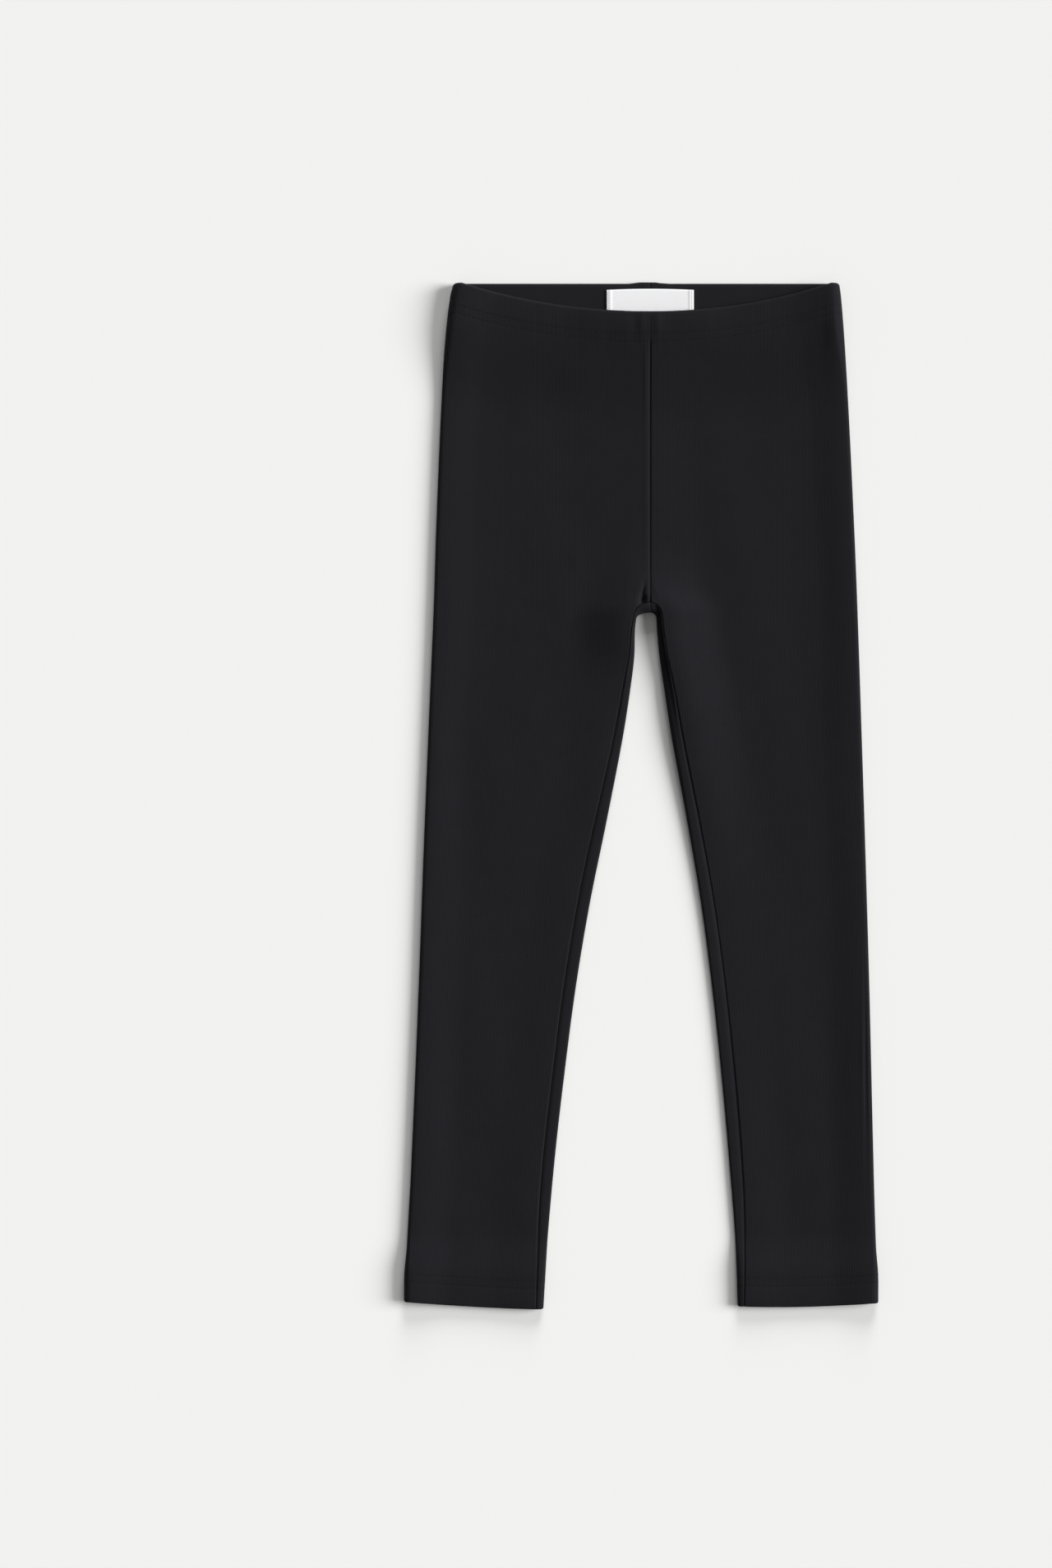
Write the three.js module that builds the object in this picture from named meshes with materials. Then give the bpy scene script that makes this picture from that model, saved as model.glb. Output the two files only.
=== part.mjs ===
// Child's pull-on leggings in black ribbed jersey, lying flat on their back with the front facing up.
//
// Each leg is one cut panel. It wraps from the centre front seam round the side, where there is no seam,
// to the centre back seam. Below the crotch its two edges meet at the inseam, which has rolled a little
// way onto the front. The hem and the waist casing are the panel's own ends, turned to the inside, and
// the casing holds a flat elastic. A plain label is sewn inside the back of the waist.
//
// Millimetres. X runs across, Y towards the waist and Z up from the surface that the leggings lie on.
// The panels are worked out in the maker's terms: "across" is the distance from the centre seams, "down"
// the distance below the back waist edge, and "depth" how far a point lies inside the outer skin.

import * as THREE from "three";

// Driving sizes of the cloth.
const CLOTH = 1.0; // wall of the jersey
const GAP = 0.3; // between the edges at a seam, and between layers that lie on each other
const LENGTH = 624; // back waist edge to the lowest point of a hem
const CASING = 19; // depth of the waist casing
const HEM = 18.5; // depth of a leg hem
const WAIST_DIP = 17.3; // how far the front waist edge hangs below the back one
const DIP_FADES = 110; // where the front's rows run straight across again

// The elastic in the casing and the label on its back.
const ELASTIC = { thick: CLOTH, top: 1.9, bottom: 18 };
const LABEL = { halfWidth: 26.5, top: 3.4, bottom: 20.4, crown: 0.7, thick: CLOTH };

// How the flat cloth swells: at the side folds, and over the seam allowances inside.
const FOLD_AIR = 2.5;
const FOLD_REACH = 26;
const SEAM_DITCH = 0.35;
const ALLOWANCE = { front: 0.5, inseam: 0.9, flat: 4, reach: 30 };

// Past a turned end's raw edge the skin comes down from `start` on, over the length for that end.
const STEP = { start: 0.5, casing: 55, hem: 26 };

// The crotch: the inseam crosses the centre front above the arch between the legs, and at the shoulder
// the arch has turned into the legs' inner folds. From `drapeFrom` down the back sags towards the arch.
const CROTCH = { seam: 194.2, arch: 200.3, shoulder: 204, drapeFrom: 150 };

// The seams that meet there lift the cloth. The lift dies away upwards, along each leg's own inner fold
// and beside the seams, which part from the centre smoothly, from a little above the crotch.
const BULK = { height: 6, above: 22, reach: 38, parting: 12 };

// Each leg as it lies. "left" is the wearer's left, which lies at +X.
const LEFT = { sign: 1, column: "left", bulkBelow: 100, hemRise: { outer: 3.7, inner: 1.7, bow: 1.2 } };
const RIGHT = { sign: -1, column: "right", bulkBelow: 30, hemRise: { outer: 4.4, inner: 0, bow: 0.7 } };

// The outer fold's distance from the centre seams.
const OUTER_EDGE = [
  { down: 0, left: 114.9, right: 119.5 },
  { down: 8, left: 116.0, right: 121.6 },
  { down: 35, left: 118.2, right: 124.7 },
  { down: 75, left: 120.7, right: 127.1 },
  { down: 150, left: 124.3, right: 130.2 },
  { down: 200, left: 126.3, right: 131.8 },
  { down: 275, left: 128.8, right: 135.0 },
  { down: 350, left: 131.2, right: 138.0 },
  { down: 430, left: 133.5, right: 140.9 },
  { down: 515, left: 135.5, right: 144.4 },
  { down: 590, left: 137.5, right: 148.0 },
  { down: 606, left: 138.7, right: 149.5 },
  { down: LENGTH, left: 138.8, right: 149.7 },
];

// The inner fold's distance from the centre seams, below the arch.
const INNER_EDGE = [
  { down: CROTCH.shoulder, left: 3.8, right: 8.4 },
  { down: 211, left: 4.2, right: 9.2 },
  { down: 227, left: 5.7, right: 9.6 },
  { down: 247, left: 8.6, right: 12.0 },
  { down: 277, left: 13.2, right: 16.7 },
  { down: 327, left: 22.5, right: 26.4 },
  { down: 377, left: 31.0, right: 36.6 },
  { down: 427, left: 37.6, right: 45.0 },
  { down: 477, left: 43.0, right: 51.6 },
  { down: 527, left: 47.6, right: 57.4 },
  { down: 577, left: 51.5, right: 62.0 },
  { down: 602, left: 52.6, right: 63.6 },
  { down: LENGTH, left: 53.2, right: 64.9 },
];

// How far onto the front the inseam lies from the inner fold.
const INSEAM_ROLL = [
  { down: CROTCH.shoulder, left: 3.2, right: 1.7 },
  { down: 226, left: 4.4, right: 3.0 },
  { down: 240, left: 5.5, right: 4.3 },
  { down: 272, left: 6.6, right: 5.6 },
  { down: 340, left: 7.4, right: 7.4 },
  { down: 480, left: 8.0, right: 7.3 },
  { down: 550, left: 7.2, right: 7.1 },
  { down: 590, left: 5.2, right: 5.6 },
  { down: LENGTH, left: 3.7, right: 4.4 },
];

// Where a panel is sampled. Rows are distances down, and columns distances in from an edge or shares.
const ROWS_IN_CASING = [3.4, 6.5, 9.6, 12.8, 16];
const ROWS_ABOVE_CROTCH = [CASING, 22, 25.5, 32, 45, 64, 86, DIP_FADES, 134, 156, 172, 184];
const ARCH_STEPS = 4;
const ROWS_BELOW_CROTCH = [
  208, 213, 222, 233, 247, 270, 298, 328, 362, 396, 430, 464, 498, 532, 562, 580, 593.5, 599.5,
];
const ROWS_IN_HEM = [LENGTH - HEM / 2];
const FOLD_STEPS = 4;
const FRONT_FROM_SEAM = [0, 1.3, 5, 13];
const FRONT_SHARES = [0.19, 0.27, 0.37, 0.48, 0.6, 0.71];
const FRONT_FROM_SIDE = [17, 10, 4, 0];
const BACK_SHARES = [0, 0.14, 0.32, 0.5, 0.68, 0.86, 1];
const STRIP_SHARES = [0, 0.5, 1];
const SIDE_STEPS = 5;
const TURN_STEPS = 4;

const mix = (a, b, share) => a + (b - a) * share;
const shareOf = (from, to, value) => Math.min(1, Math.max(0, (value - from) / (to - from)));

// 0 before `from`, 1 after `to`, and a smooth climb between.
function ramp(from, to, value) {
  const share = shareOf(from, to, value);
  return share * share * (3 - 2 * share);
}

// A smooth curve through one column of a table, by distance down.
function lookUp(table, column, down) {
  const last = table.length - 1;
  let row = 0;
  while (row < last - 1 && down > table[row + 1].down) row += 1;
  const slope = (i) => {
    const before = table[Math.max(0, i - 1)];
    const after = table[Math.min(last, i + 1)];
    return (after[column] - before[column]) / (after.down - before.down);
  };
  const [start, end] = [table[row], table[row + 1]];
  const span = end.down - start.down;
  const s = shareOf(start.down, end.down, down);
  const curve = (2 * s ** 3 - 3 * s ** 2 + 1) * start[column] + (3 * s ** 2 - 2 * s ** 3) * end[column];
  const lean = (s ** 3 - 2 * s ** 2 + s) * slope(row) + (s ** 3 - s ** 2) * slope(row + 1);
  return curve + span * lean;
}

// How much a turned end inside adds to one layer's thickness.
function turnedBulk(down) {
  const casing = 2 * (CLOTH + GAP) * (1 - ramp(CASING + STEP.start, CASING + STEP.casing, down));
  const hemTop = LENGTH - HEM;
  const hem = (CLOTH + GAP) * ramp(hemTop - STEP.hem, hemTop - STEP.start, down);
  return casing + hem;
}

// How far the seam allowances inside lift the cloth along the seams.
const allowance = (down) => mix(ALLOWANCE.front, ALLOWANCE.inseam, ramp(CROTCH.drapeFrom, 230, down));

// How far the seams that meet at the crotch lift it there.
function bunched(leg, down) {
  const reach = down < CROTCH.arch ? BULK.above : leg.bulkBelow;
  return BULK.height * Math.exp(-(((down - CROTCH.arch) / reach) ** 2));
}

// How far a point of the front lies outside the seams.
function besideSeam(leg, across, down) {
  const row = Math.max(down, CROTCH.shoulder);
  const inseam = lookUp(INNER_EDGE, leg.column, row) + lookUp(INSEAM_ROLL, leg.column, row);
  return Math.max(0, across - inseam * ramp(CROTCH.seam - BULK.parting, CROTCH.shoulder, down));
}

// How much the label lifts the front edge that lies over it.
function labelLift(across, down) {
  const beside = 1 - ramp(LABEL.halfWidth + STEP.start, LABEL.halfWidth + STEP.hem, Math.abs(across));
  const below = 1 - ramp(LABEL.bottom + STEP.start, LABEL.bottom + STEP.hem, down);
  return (LABEL.thick + GAP) * beside * below;
}

// Both layers' height at a fold, by distance down.
const sideHeight = (down) => 2 * (CLOTH + turnedBulk(down)) + GAP + FOLD_AIR;
const innerHeight = (leg, down) => sideHeight(down) - FOLD_AIR + allowance(down) + bunched(leg, down);

// The front's skin: what lies under it, its own layers, and what swells it near its two edges.
function frontHeight(leg, row, down, across, fromSeam, fromSide) {
  const layers = 2 * CLOTH + GAP + turnedBulk(row) + turnedBulk(down) + labelLift(across, down);
  const side = FOLD_AIR * (1 - ramp(0, FOLD_REACH, fromSide));
  const beside = besideSeam(leg, across, down);
  const seam = allowance(down) * (1 - ramp(ALLOWANCE.flat, ALLOWANCE.reach, beside));
  const bulk = bunched(leg, down) * (1 - ramp(ALLOWANCE.flat, BULK.reach, beside));
  const ditch = SEAM_DITCH * (1 - ramp(0, 1.2, fromSeam));
  return layers + side + seam + bulk - ditch;
}

// The front waist edge hangs down between the side folds.
function waistDip(row, shareFromSide) {
  return WAIST_DIP * shareFromSide * (2 - shareFromSide) * (1 - ramp(CASING + STEP.hem, DIP_FADES, row));
}

// The hem's own line: each end rises by its own amount above the lowest point.
function hemRise(leg, row, shareFromSide) {
  const { outer, inner, bow } = leg.hemRise;
  const line = mix(outer, inner, shareFromSide) - bow * 4 * shareFromSide * (1 - shareFromSide);
  return line * ramp(540, LENGTH - HEM - STEP.hem, row);
}

// The plan of one row: the centres of its two fold rolls, its seam, and the way from inner fold to seam.
function planOf(leg, row) {
  const roll = sideHeight(row) / 2;
  const side = new THREE.Vector2(lookUp(OUTER_EDGE, leg.column, row) - roll, row);
  if (row < CROTCH.seam) {
    const drape = (CROTCH.arch - innerHeight(leg, CROTCH.seam) / 2 - CROTCH.seam)
      * ramp(CROTCH.drapeFrom, CROTCH.seam, row);
    const seam = new THREE.Vector2(GAP / 2, row);
    return { side, seam, back: new THREE.Vector2(GAP / 2, row + drape) };
  }
  const turn = shareOf(CROTCH.seam, CROTCH.shoulder, row) * Math.PI / 2;
  const edgeRow = Math.max(row, CROTCH.shoulder);
  const inner = lookUp(INNER_EDGE, leg.column, edgeRow);
  const rolled = inner + lookUp(INSEAM_ROLL, leg.column, edgeRow);
  const fold = archPoint(inner, CROTCH.arch, turn, edgeRow);
  const seam = archPoint(rolled, CROTCH.seam, turn, edgeRow);
  const inward = seam.clone().sub(fold).normalize();
  const innerRoll = innerHeight(leg, row) / 2;
  const reach = Math.min(innerRoll, seam.distanceTo(fold) - 2 * GAP);
  return {
    side,
    seam: seam.clone().addScaledVector(inward, GAP / 2),
    stripEnd: seam.clone().addScaledVector(inward, -GAP / 2),
    back: fold.clone().addScaledVector(inward, reach),
    inward,
    innerRoll,
    reach,
  };
}

// A quarter ellipse from the centre seams, out and down to a leg's edge.
function archPoint(across, top, turn, bottom) {
  return new THREE.Vector2(
    mix(GAP / 2, across, Math.sin(turn)),
    mix(bottom, top, Math.cos(turn)),
  );
}

// A front column's distance from the seam, in a row that is `span` wide.
function fromSeamOf(column, span) {
  if (column.fromSeam !== undefined) return column.fromSeam;
  return column.fromSide === undefined ? column.share * span : span - column.fromSide;
}

// A point of the panel: `row` down, at `column` round it, `depth` inside the skin.
function place(leg, row, column, depth) {
  const plan = planOf(leg, row);
  const spot = new THREE.Vector2();
  let height = 0;
  let shareFromSide = 0;
  if (column.zone === "front") {
    const span = plan.seam.distanceTo(plan.side);
    const fromSeam = fromSeamOf(column, span);
    const share = fromSeam / span;
    shareFromSide = 1 - share;
    spot.lerpVectors(plan.seam, plan.side, share);
    spot.y += waistDip(row, shareFromSide) - hemRise(leg, row, shareFromSide);
    height = frontHeight(leg, row, spot.y, spot.x, fromSeam, span - fromSeam) - depth;
  } else if (column.zone === "side") {
    const roll = sideHeight(row) / 2;
    spot.copy(plan.side);
    spot.x += (roll - depth) * Math.sin(column.angle);
    spot.y -= hemRise(leg, row, 0);
    height = roll - (roll - depth) * Math.cos(column.angle);
  } else if (column.zone === "back") {
    shareFromSide = column.share;
    spot.lerpVectors(plan.side, plan.back, column.share);
    spot.y -= hemRise(leg, row, shareFromSide);
    height = depth;
  } else if (column.zone === "turn") {
    spot.copy(plan.back).addScaledVector(plan.inward, -(plan.reach - depth) * Math.sin(column.angle));
    spot.y -= hemRise(leg, row, 1);
    height = plan.innerRoll - (plan.innerRoll - depth) * Math.cos(column.angle);
  } else {
    spot.lerpVectors(plan.back, plan.stripEnd, column.share);
    spot.y -= hemRise(leg, row, 1);
    height = 2 * plan.innerRoll - depth - SEAM_DITCH * ramp(0.5, 1, column.share);
  }
  return new THREE.Vector3(leg.sign * spot.x, -spot.y, height);
}

// The columns from the front seam, round the side fold and the back, to the back's own edge.
function panelColumns() {
  const angles = (steps, from, to) =>
    Array.from({ length: steps - 1 }, (_, i) => mix(from, to, (i + 1) / steps));
  const front = [
    ...FRONT_FROM_SEAM.map((fromSeam) => ({ zone: "front", fromSeam })),
    ...FRONT_SHARES.map((share) => ({ zone: "front", share })),
    ...FRONT_FROM_SIDE.map((fromSide) => ({ zone: "front", fromSide })),
  ];
  const side = angles(SIDE_STEPS, Math.PI, 0).map((angle) => ({ zone: "side", angle }));
  const back = BACK_SHARES.map((share) => ({ zone: "back", share }));
  const turn = angles(TURN_STEPS, 0, Math.PI).map((angle) => ({ zone: "turn", angle, belowCrotch: true }));
  const strip = STRIP_SHARES.map((share) => ({ zone: "strip", share, belowCrotch: true }));
  return { ring: [...front, ...side, ...back], inseam: [...turn, ...strip] };
}

// A turned end, from its raw edge inside, round its fold, to the skin: each row's two faces.
// `edge` is where the fold lies, and `into` is +1 where the panel runs on down from it.
function turnedEnd(edge, into, turnedRows, held) {
  const deep = 2 * CLOTH + held;
  const [wide, tight] = [deep / 2, deep / 2 - CLOTH];
  const rows = turnedRows.map((row) => ({
    outer: { row, depth: deep },
    inner: { row, depth: deep - CLOTH },
  }));
  for (let step = 0; step <= FOLD_STEPS; step += 1) {
    const angle = Math.PI * step / FOLD_STEPS;
    const [along, across] = [Math.sin(angle), Math.cos(angle)];
    rows.push({
      outer: { row: edge + into * wide * (1 - along), depth: wide * (1 + across) },
      inner: { row: edge + into * (wide - tight * along), depth: wide + tight * across },
    });
  }
  return rows;
}

// All rows of a panel, from the casing's raw edge over the waist, down the leg and round the hem.
function panelRows() {
  const plain = (row) => ({ outer: { row, depth: 0 }, inner: { row, depth: CLOTH } });
  const archRow = (_, i) => mix(CROTCH.seam, CROTCH.shoulder, i / ARCH_STEPS);
  const arch = Array.from({ length: ARCH_STEPS + 1 }, archRow);
  const hemTop = LENGTH - HEM;
  const above = [...ROWS_IN_CASING, ...ROWS_ABOVE_CROTCH, ...arch];
  const body = [...above, ...ROWS_BELOW_CROTCH, hemTop, ...ROWS_IN_HEM];
  return [
    ...turnedEnd(0, 1, [CASING, ...ROWS_IN_CASING.toReversed()], ELASTIC.thick + 2 * GAP),
    ...body.map(plain),
    ...turnedEnd(LENGTH, -1, [hemTop, ...ROWS_IN_HEM], GAP).reverse(),
  ];
}

// A closed wall from two grids of points, its outer and inner faces. A grid may lack points in a corner.
function wallGeometry(outer, inner, mirrored) {
  const positions = [];
  const triangles = [];
  const rims = new Map();
  const known = new Map();
  const idOf = (point) => {
    if (!known.has(point)) known.set(point, positions.push(...point) / 3 - 1);
    return known.get(point);
  };
  const store = (grid) => grid.map((line) => line.map((point) => point && idOf(point)));
  const [skin, lining] = [store(outer), store(inner)];
  const pair = new Map();
  const quad = (a, b, c, d) => {
    const [second, fourth] = mirrored ? [d, b] : [b, d];
    triangles.push(a, second, c, a, c, fourth);
  };
  const point = (id) => new THREE.Vector3().fromArray(positions, 3 * id);
  const length = (a, b) => point(a).distanceTo(point(b));
  skin.forEach((line, r) => line.forEach((id, c) => pair.set(id, lining[r][c])));
  for (let r = 0; r + 1 < skin.length; r += 1) {
    for (let c = 0; c + 1 < skin[r].length; c += 1) {
      const corners = [skin[r][c], skin[r][c + 1], skin[r + 1][c + 1], skin[r + 1][c]];
      if (corners.some((id) => id === undefined)) continue;
      // The shorter diagonal cuts each face of the wall, so that both are cut alike.
      const [first, second, third, fourth] = corners;
      const kept = length(first, third) < length(second, fourth);
      const cut = kept ? corners : [second, third, fourth, first];
      quad(...cut);
      const [start, ...rest] = cut.map((id) => pair.get(id));
      quad(start, ...rest.reverse());
      corners.forEach((from, i) => {
        const to = corners[(i + 1) % 4];
        if (!rims.delete(`${to},${from}`)) rims.set(`${from},${to}`, [from, to]);
      });
    }
  }
  for (const [from, to] of rims.values()) quad(to, from, pair.get(from), pair.get(to));
  const geometry = new THREE.BufferGeometry();
  geometry.setAttribute("position", new THREE.Float32BufferAttribute(positions, 3));
  geometry.setIndex(triangles);
  geometry.computeVertexNormals();
  return geometry;
}

// One leg of the leggings, cut in one piece from centre front to centre back.
function legPanel(leg) {
  const { ring, inseam } = panelColumns();
  const rows = panelRows();
  const face = (side) => rows.map((line) => [...ring, ...inseam].map((column) => {
    const missing = column.belowCrotch && line.outer.row < CROTCH.seam;
    return missing ? undefined : place(leg, line[side].row, column, line[side].depth);
  }));
  return wallGeometry(face("outer"), face("inner"), leg.sign > 0);
}

// The flat elastic, one ring through both halves of the casing.
function waistElastic() {
  const { ring } = panelColumns();
  const depth = { outer: CLOTH + GAP, inner: CLOTH + GAP + ELASTIC.thick };
  const band = (row, face) => [
    ...ring.map((column) => place(LEFT, row, column, depth[face])),
    ...ring.map((column) => place(RIGHT, row, column, depth[face])).reverse(),
  ];
  const rows = [ELASTIC.top, ...ROWS_IN_CASING, ELASTIC.bottom];
  const closed = (line) => [...line, line[0]];
  return wallGeometry(
    rows.map((row) => closed(band(row, "outer"))),
    rows.map((row) => closed(band(row, "inner"))),
    true,
  );
}

// The plain label: a woven ribbon whose top edge bows up over the centre back seam.
function backLabel() {
  const under = 3 * CLOTH + 3 * GAP;
  const columns = 10;
  const shares = Array.from({ length: columns + 1 }, (_, i) => mix(-1, 1, i / columns));
  const edge = (down, crown, height) =>
    shares.map((share) => new THREE.Vector3(share * LABEL.halfWidth, -down - crown * share ** 2, height));
  const face = (height) => [edge(LABEL.top, LABEL.crown, height), edge(LABEL.bottom, 0, height)];
  return wallGeometry(face(under + LABEL.thick), face(under), true);
}

const jersey = new THREE.MeshStandardMaterial({ color: 0x1c1b1f, roughness: 0.92, metalness: 0 });
const elastic = new THREE.MeshStandardMaterial({ color: 0x1a1a1c, roughness: 0.8, metalness: 0 });
const satin = new THREE.MeshStandardMaterial({ color: 0xe9e9eb, roughness: 0.45, metalness: 0 });

function piece(name, geometry, material) {
  const mesh = new THREE.Mesh(geometry, material);
  mesh.name = name;
  return mesh;
}

const leggings = new THREE.Group();
leggings.add(
  piece("left_leg", legPanel(LEFT), jersey),
  piece("right_leg", legPanel(RIGHT), jersey),
  piece("waist_elastic", waistElastic(), elastic),
  piece("back_label", backLabel(), satin),
);

// The origin is under the middle of the whole garment, on the surface that it lies on.
const middle = new THREE.Box3().setFromObject(leggings).getCenter(new THREE.Vector3());
leggings.position.set(-middle.x, -middle.y, 0);

export default leggings;
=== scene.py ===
"""A child's black ribbed leggings, laid flat with the front up on a pale surface."""

import logging
import math
from collections.abc import Iterable, Sequence
from dataclasses import dataclass, field
from enum import Enum
from functools import cached_property
from typing import NamedTuple

import bmesh
import bpy
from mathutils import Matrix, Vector


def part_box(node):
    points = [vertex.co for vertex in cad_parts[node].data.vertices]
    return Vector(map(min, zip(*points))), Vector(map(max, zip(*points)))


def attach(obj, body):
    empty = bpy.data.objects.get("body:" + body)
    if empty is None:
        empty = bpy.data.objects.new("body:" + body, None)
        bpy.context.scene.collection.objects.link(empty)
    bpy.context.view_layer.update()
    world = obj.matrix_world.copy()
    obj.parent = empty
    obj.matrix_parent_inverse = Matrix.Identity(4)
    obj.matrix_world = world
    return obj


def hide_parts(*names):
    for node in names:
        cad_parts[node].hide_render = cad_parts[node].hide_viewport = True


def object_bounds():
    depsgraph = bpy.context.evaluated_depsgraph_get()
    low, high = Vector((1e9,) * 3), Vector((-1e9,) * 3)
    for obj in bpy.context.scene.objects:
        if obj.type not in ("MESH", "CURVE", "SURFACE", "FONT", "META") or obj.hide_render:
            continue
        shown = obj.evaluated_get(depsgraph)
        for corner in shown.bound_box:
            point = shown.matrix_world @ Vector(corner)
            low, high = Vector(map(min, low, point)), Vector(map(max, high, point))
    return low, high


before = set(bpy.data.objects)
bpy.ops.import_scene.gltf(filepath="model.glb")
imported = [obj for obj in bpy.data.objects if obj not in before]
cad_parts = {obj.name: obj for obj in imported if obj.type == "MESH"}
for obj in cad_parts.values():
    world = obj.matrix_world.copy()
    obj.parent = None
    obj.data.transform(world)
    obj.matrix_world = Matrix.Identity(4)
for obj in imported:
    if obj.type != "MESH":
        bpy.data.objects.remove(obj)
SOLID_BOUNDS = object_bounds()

log = logging.getLogger("leggings")

MM = 0.001
ROUNDING = 1e-6

Point = tuple[float, float, float]
Grid = list[list[Point | None]]


def mix(a: float, b: float, share: float) -> float:
    """The value that lies a given share of the way from one to another."""
    return a + (b - a) * share


def share_of(start: float, end: float, value: float) -> float:
    """How far a value lies from a start to an end, held between 0 and 1."""
    return min(1.0, max(0.0, (value - start) / (end - start)))


def ramp(start: float, end: float, value: float) -> float:
    """A smooth climb from 0 at the start to 1 at the end."""
    share = share_of(start, end, value)
    return share * share * (3 - 2 * share)


def bell(distance: float, half_width: float) -> float:
    """A soft ridge: 1 on its line, and about a third at its half width."""
    return math.exp(-((distance / half_width) ** 2))


def spaced(start: float, end: float, step: float) -> list[float]:
    """Even steps from a start up to, and without, an end, none longer than asked."""
    count = max(1, math.ceil((end - start) / step - ROUNDING))
    return [mix(start, end, i / count) for i in range(count)]


class Climb(NamedTuple):
    """A smooth climb from 0 to 1 between two places.

    Attributes:
        start: Where it begins.
        end: Where it ends.
    """

    start: float
    end: float

    def at(self, place: float) -> float:
        """The climb's height at a place."""
        return ramp(self.start, self.end, place)


def add_object(name: str, data: bpy.types.ID) -> bpy.types.Object:
    """Adds an object to the scene.

    Args:
        name: Its name.
        data: Its mesh, light or camera.

    Returns:
        The object.
    """
    made = bpy.data.objects.new(name, data)
    bpy.context.collection.objects.link(made)
    return made


# Sizes, in millimetres.


class Station(NamedTuple):
    """A distance at one height of the leggings.

    Attributes:
        down: Distance below the back waist edge.
        left: The distance on the wearer's left leg.
        right: The distance on the wearer's right leg.
    """

    down: float
    left: float
    right: float


OUTER_EDGE = (
    Station(down=0, left=114.9, right=119.5),
    Station(down=8, left=116.0, right=121.6),
    Station(down=35, left=118.2, right=124.7),
    Station(down=75, left=120.7, right=127.1),
    Station(down=150, left=124.3, right=130.2),
    Station(down=200, left=126.3, right=131.8),
    Station(down=275, left=128.8, right=135.0),
    Station(down=350, left=131.2, right=138.0),
    Station(down=430, left=133.5, right=140.9),
    Station(down=515, left=135.5, right=144.4),
    Station(down=590, left=137.5, right=148.0),
    Station(down=606, left=138.7, right=149.5),
    Station(down=624, left=138.8, right=149.7),
)

INNER_EDGE = (
    Station(down=204, left=3.8, right=8.4),
    Station(down=211, left=4.2, right=9.2),
    Station(down=227, left=5.7, right=9.6),
    Station(down=247, left=8.6, right=12.0),
    Station(down=277, left=13.2, right=16.7),
    Station(down=327, left=22.5, right=26.4),
    Station(down=377, left=31.0, right=36.6),
    Station(down=427, left=37.6, right=45.0),
    Station(down=477, left=43.0, right=51.6),
    Station(down=527, left=47.6, right=57.4),
    Station(down=577, left=51.5, right=62.0),
    Station(down=602, left=52.6, right=63.6),
    Station(down=624, left=53.2, right=64.9),
)

INSEAM_ROLL = (
    Station(down=204, left=3.2, right=1.7),
    Station(down=226, left=4.4, right=3.0),
    Station(down=240, left=5.5, right=4.3),
    Station(down=272, left=6.6, right=5.6),
    Station(down=340, left=7.4, right=7.4),
    Station(down=480, left=8.0, right=7.3),
    Station(down=550, left=7.2, right=7.1),
    Station(down=590, left=5.2, right=5.6),
    Station(down=624, left=3.7, right=4.4),
)


class Side(Enum):
    """One of the two legs, by the wearer's own side."""

    LEFT = "left"
    RIGHT = "right"

    @property
    def sign(self) -> int:
        """The side of the centre seams on which the leg lies, along X."""
        return 1 if self is Side.LEFT else -1

    @property
    def node(self) -> str:
        """The leg's name in the model."""
        return f"{self.value}_leg"

    def look_up(self, table: Sequence[Station], down: float) -> float:
        """A smooth curve through this leg's column of a table.

        Args:
            table: The stations, from the top down.
            down: Distance below the back waist edge.

        Returns:
            The distance at that height.
        """
        last = len(table) - 1
        row = 0
        while row < last - 1 and down > table[row + 1].down:
            row += 1

        def slope(i: int) -> float:
            before, after = table[max(0, i - 1)], table[min(last, i + 1)]
            return (getattr(after, self.value) - getattr(before, self.value)) / (after.down - before.down)

        start, end = table[row], table[row + 1]
        span = end.down - start.down
        s = share_of(start.down, end.down, down)
        first, second = getattr(start, self.value), getattr(end, self.value)
        curve = (2 * s**3 - 3 * s**2 + 1) * first + (3 * s**2 - 2 * s**3) * second
        lean = (s**3 - 2 * s**2 + s) * slope(row) + (s**3 - s**2) * slope(row + 1)
        return curve + span * lean


class HemRise(NamedTuple):
    """How far a hem's line lies above the lowest point of the leggings.

    Attributes:
        outer: At the outer fold.
        inner: At the inner fold.
        bow: How far the line sags between them.
    """

    outer: float
    inner: float
    bow: float


HEM_RISE = {
    Side.LEFT: HemRise(outer=3.7, inner=1.7, bow=1.2),
    Side.RIGHT: HemRise(outer=4.4, inner=0.0, bow=0.7),
}


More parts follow.
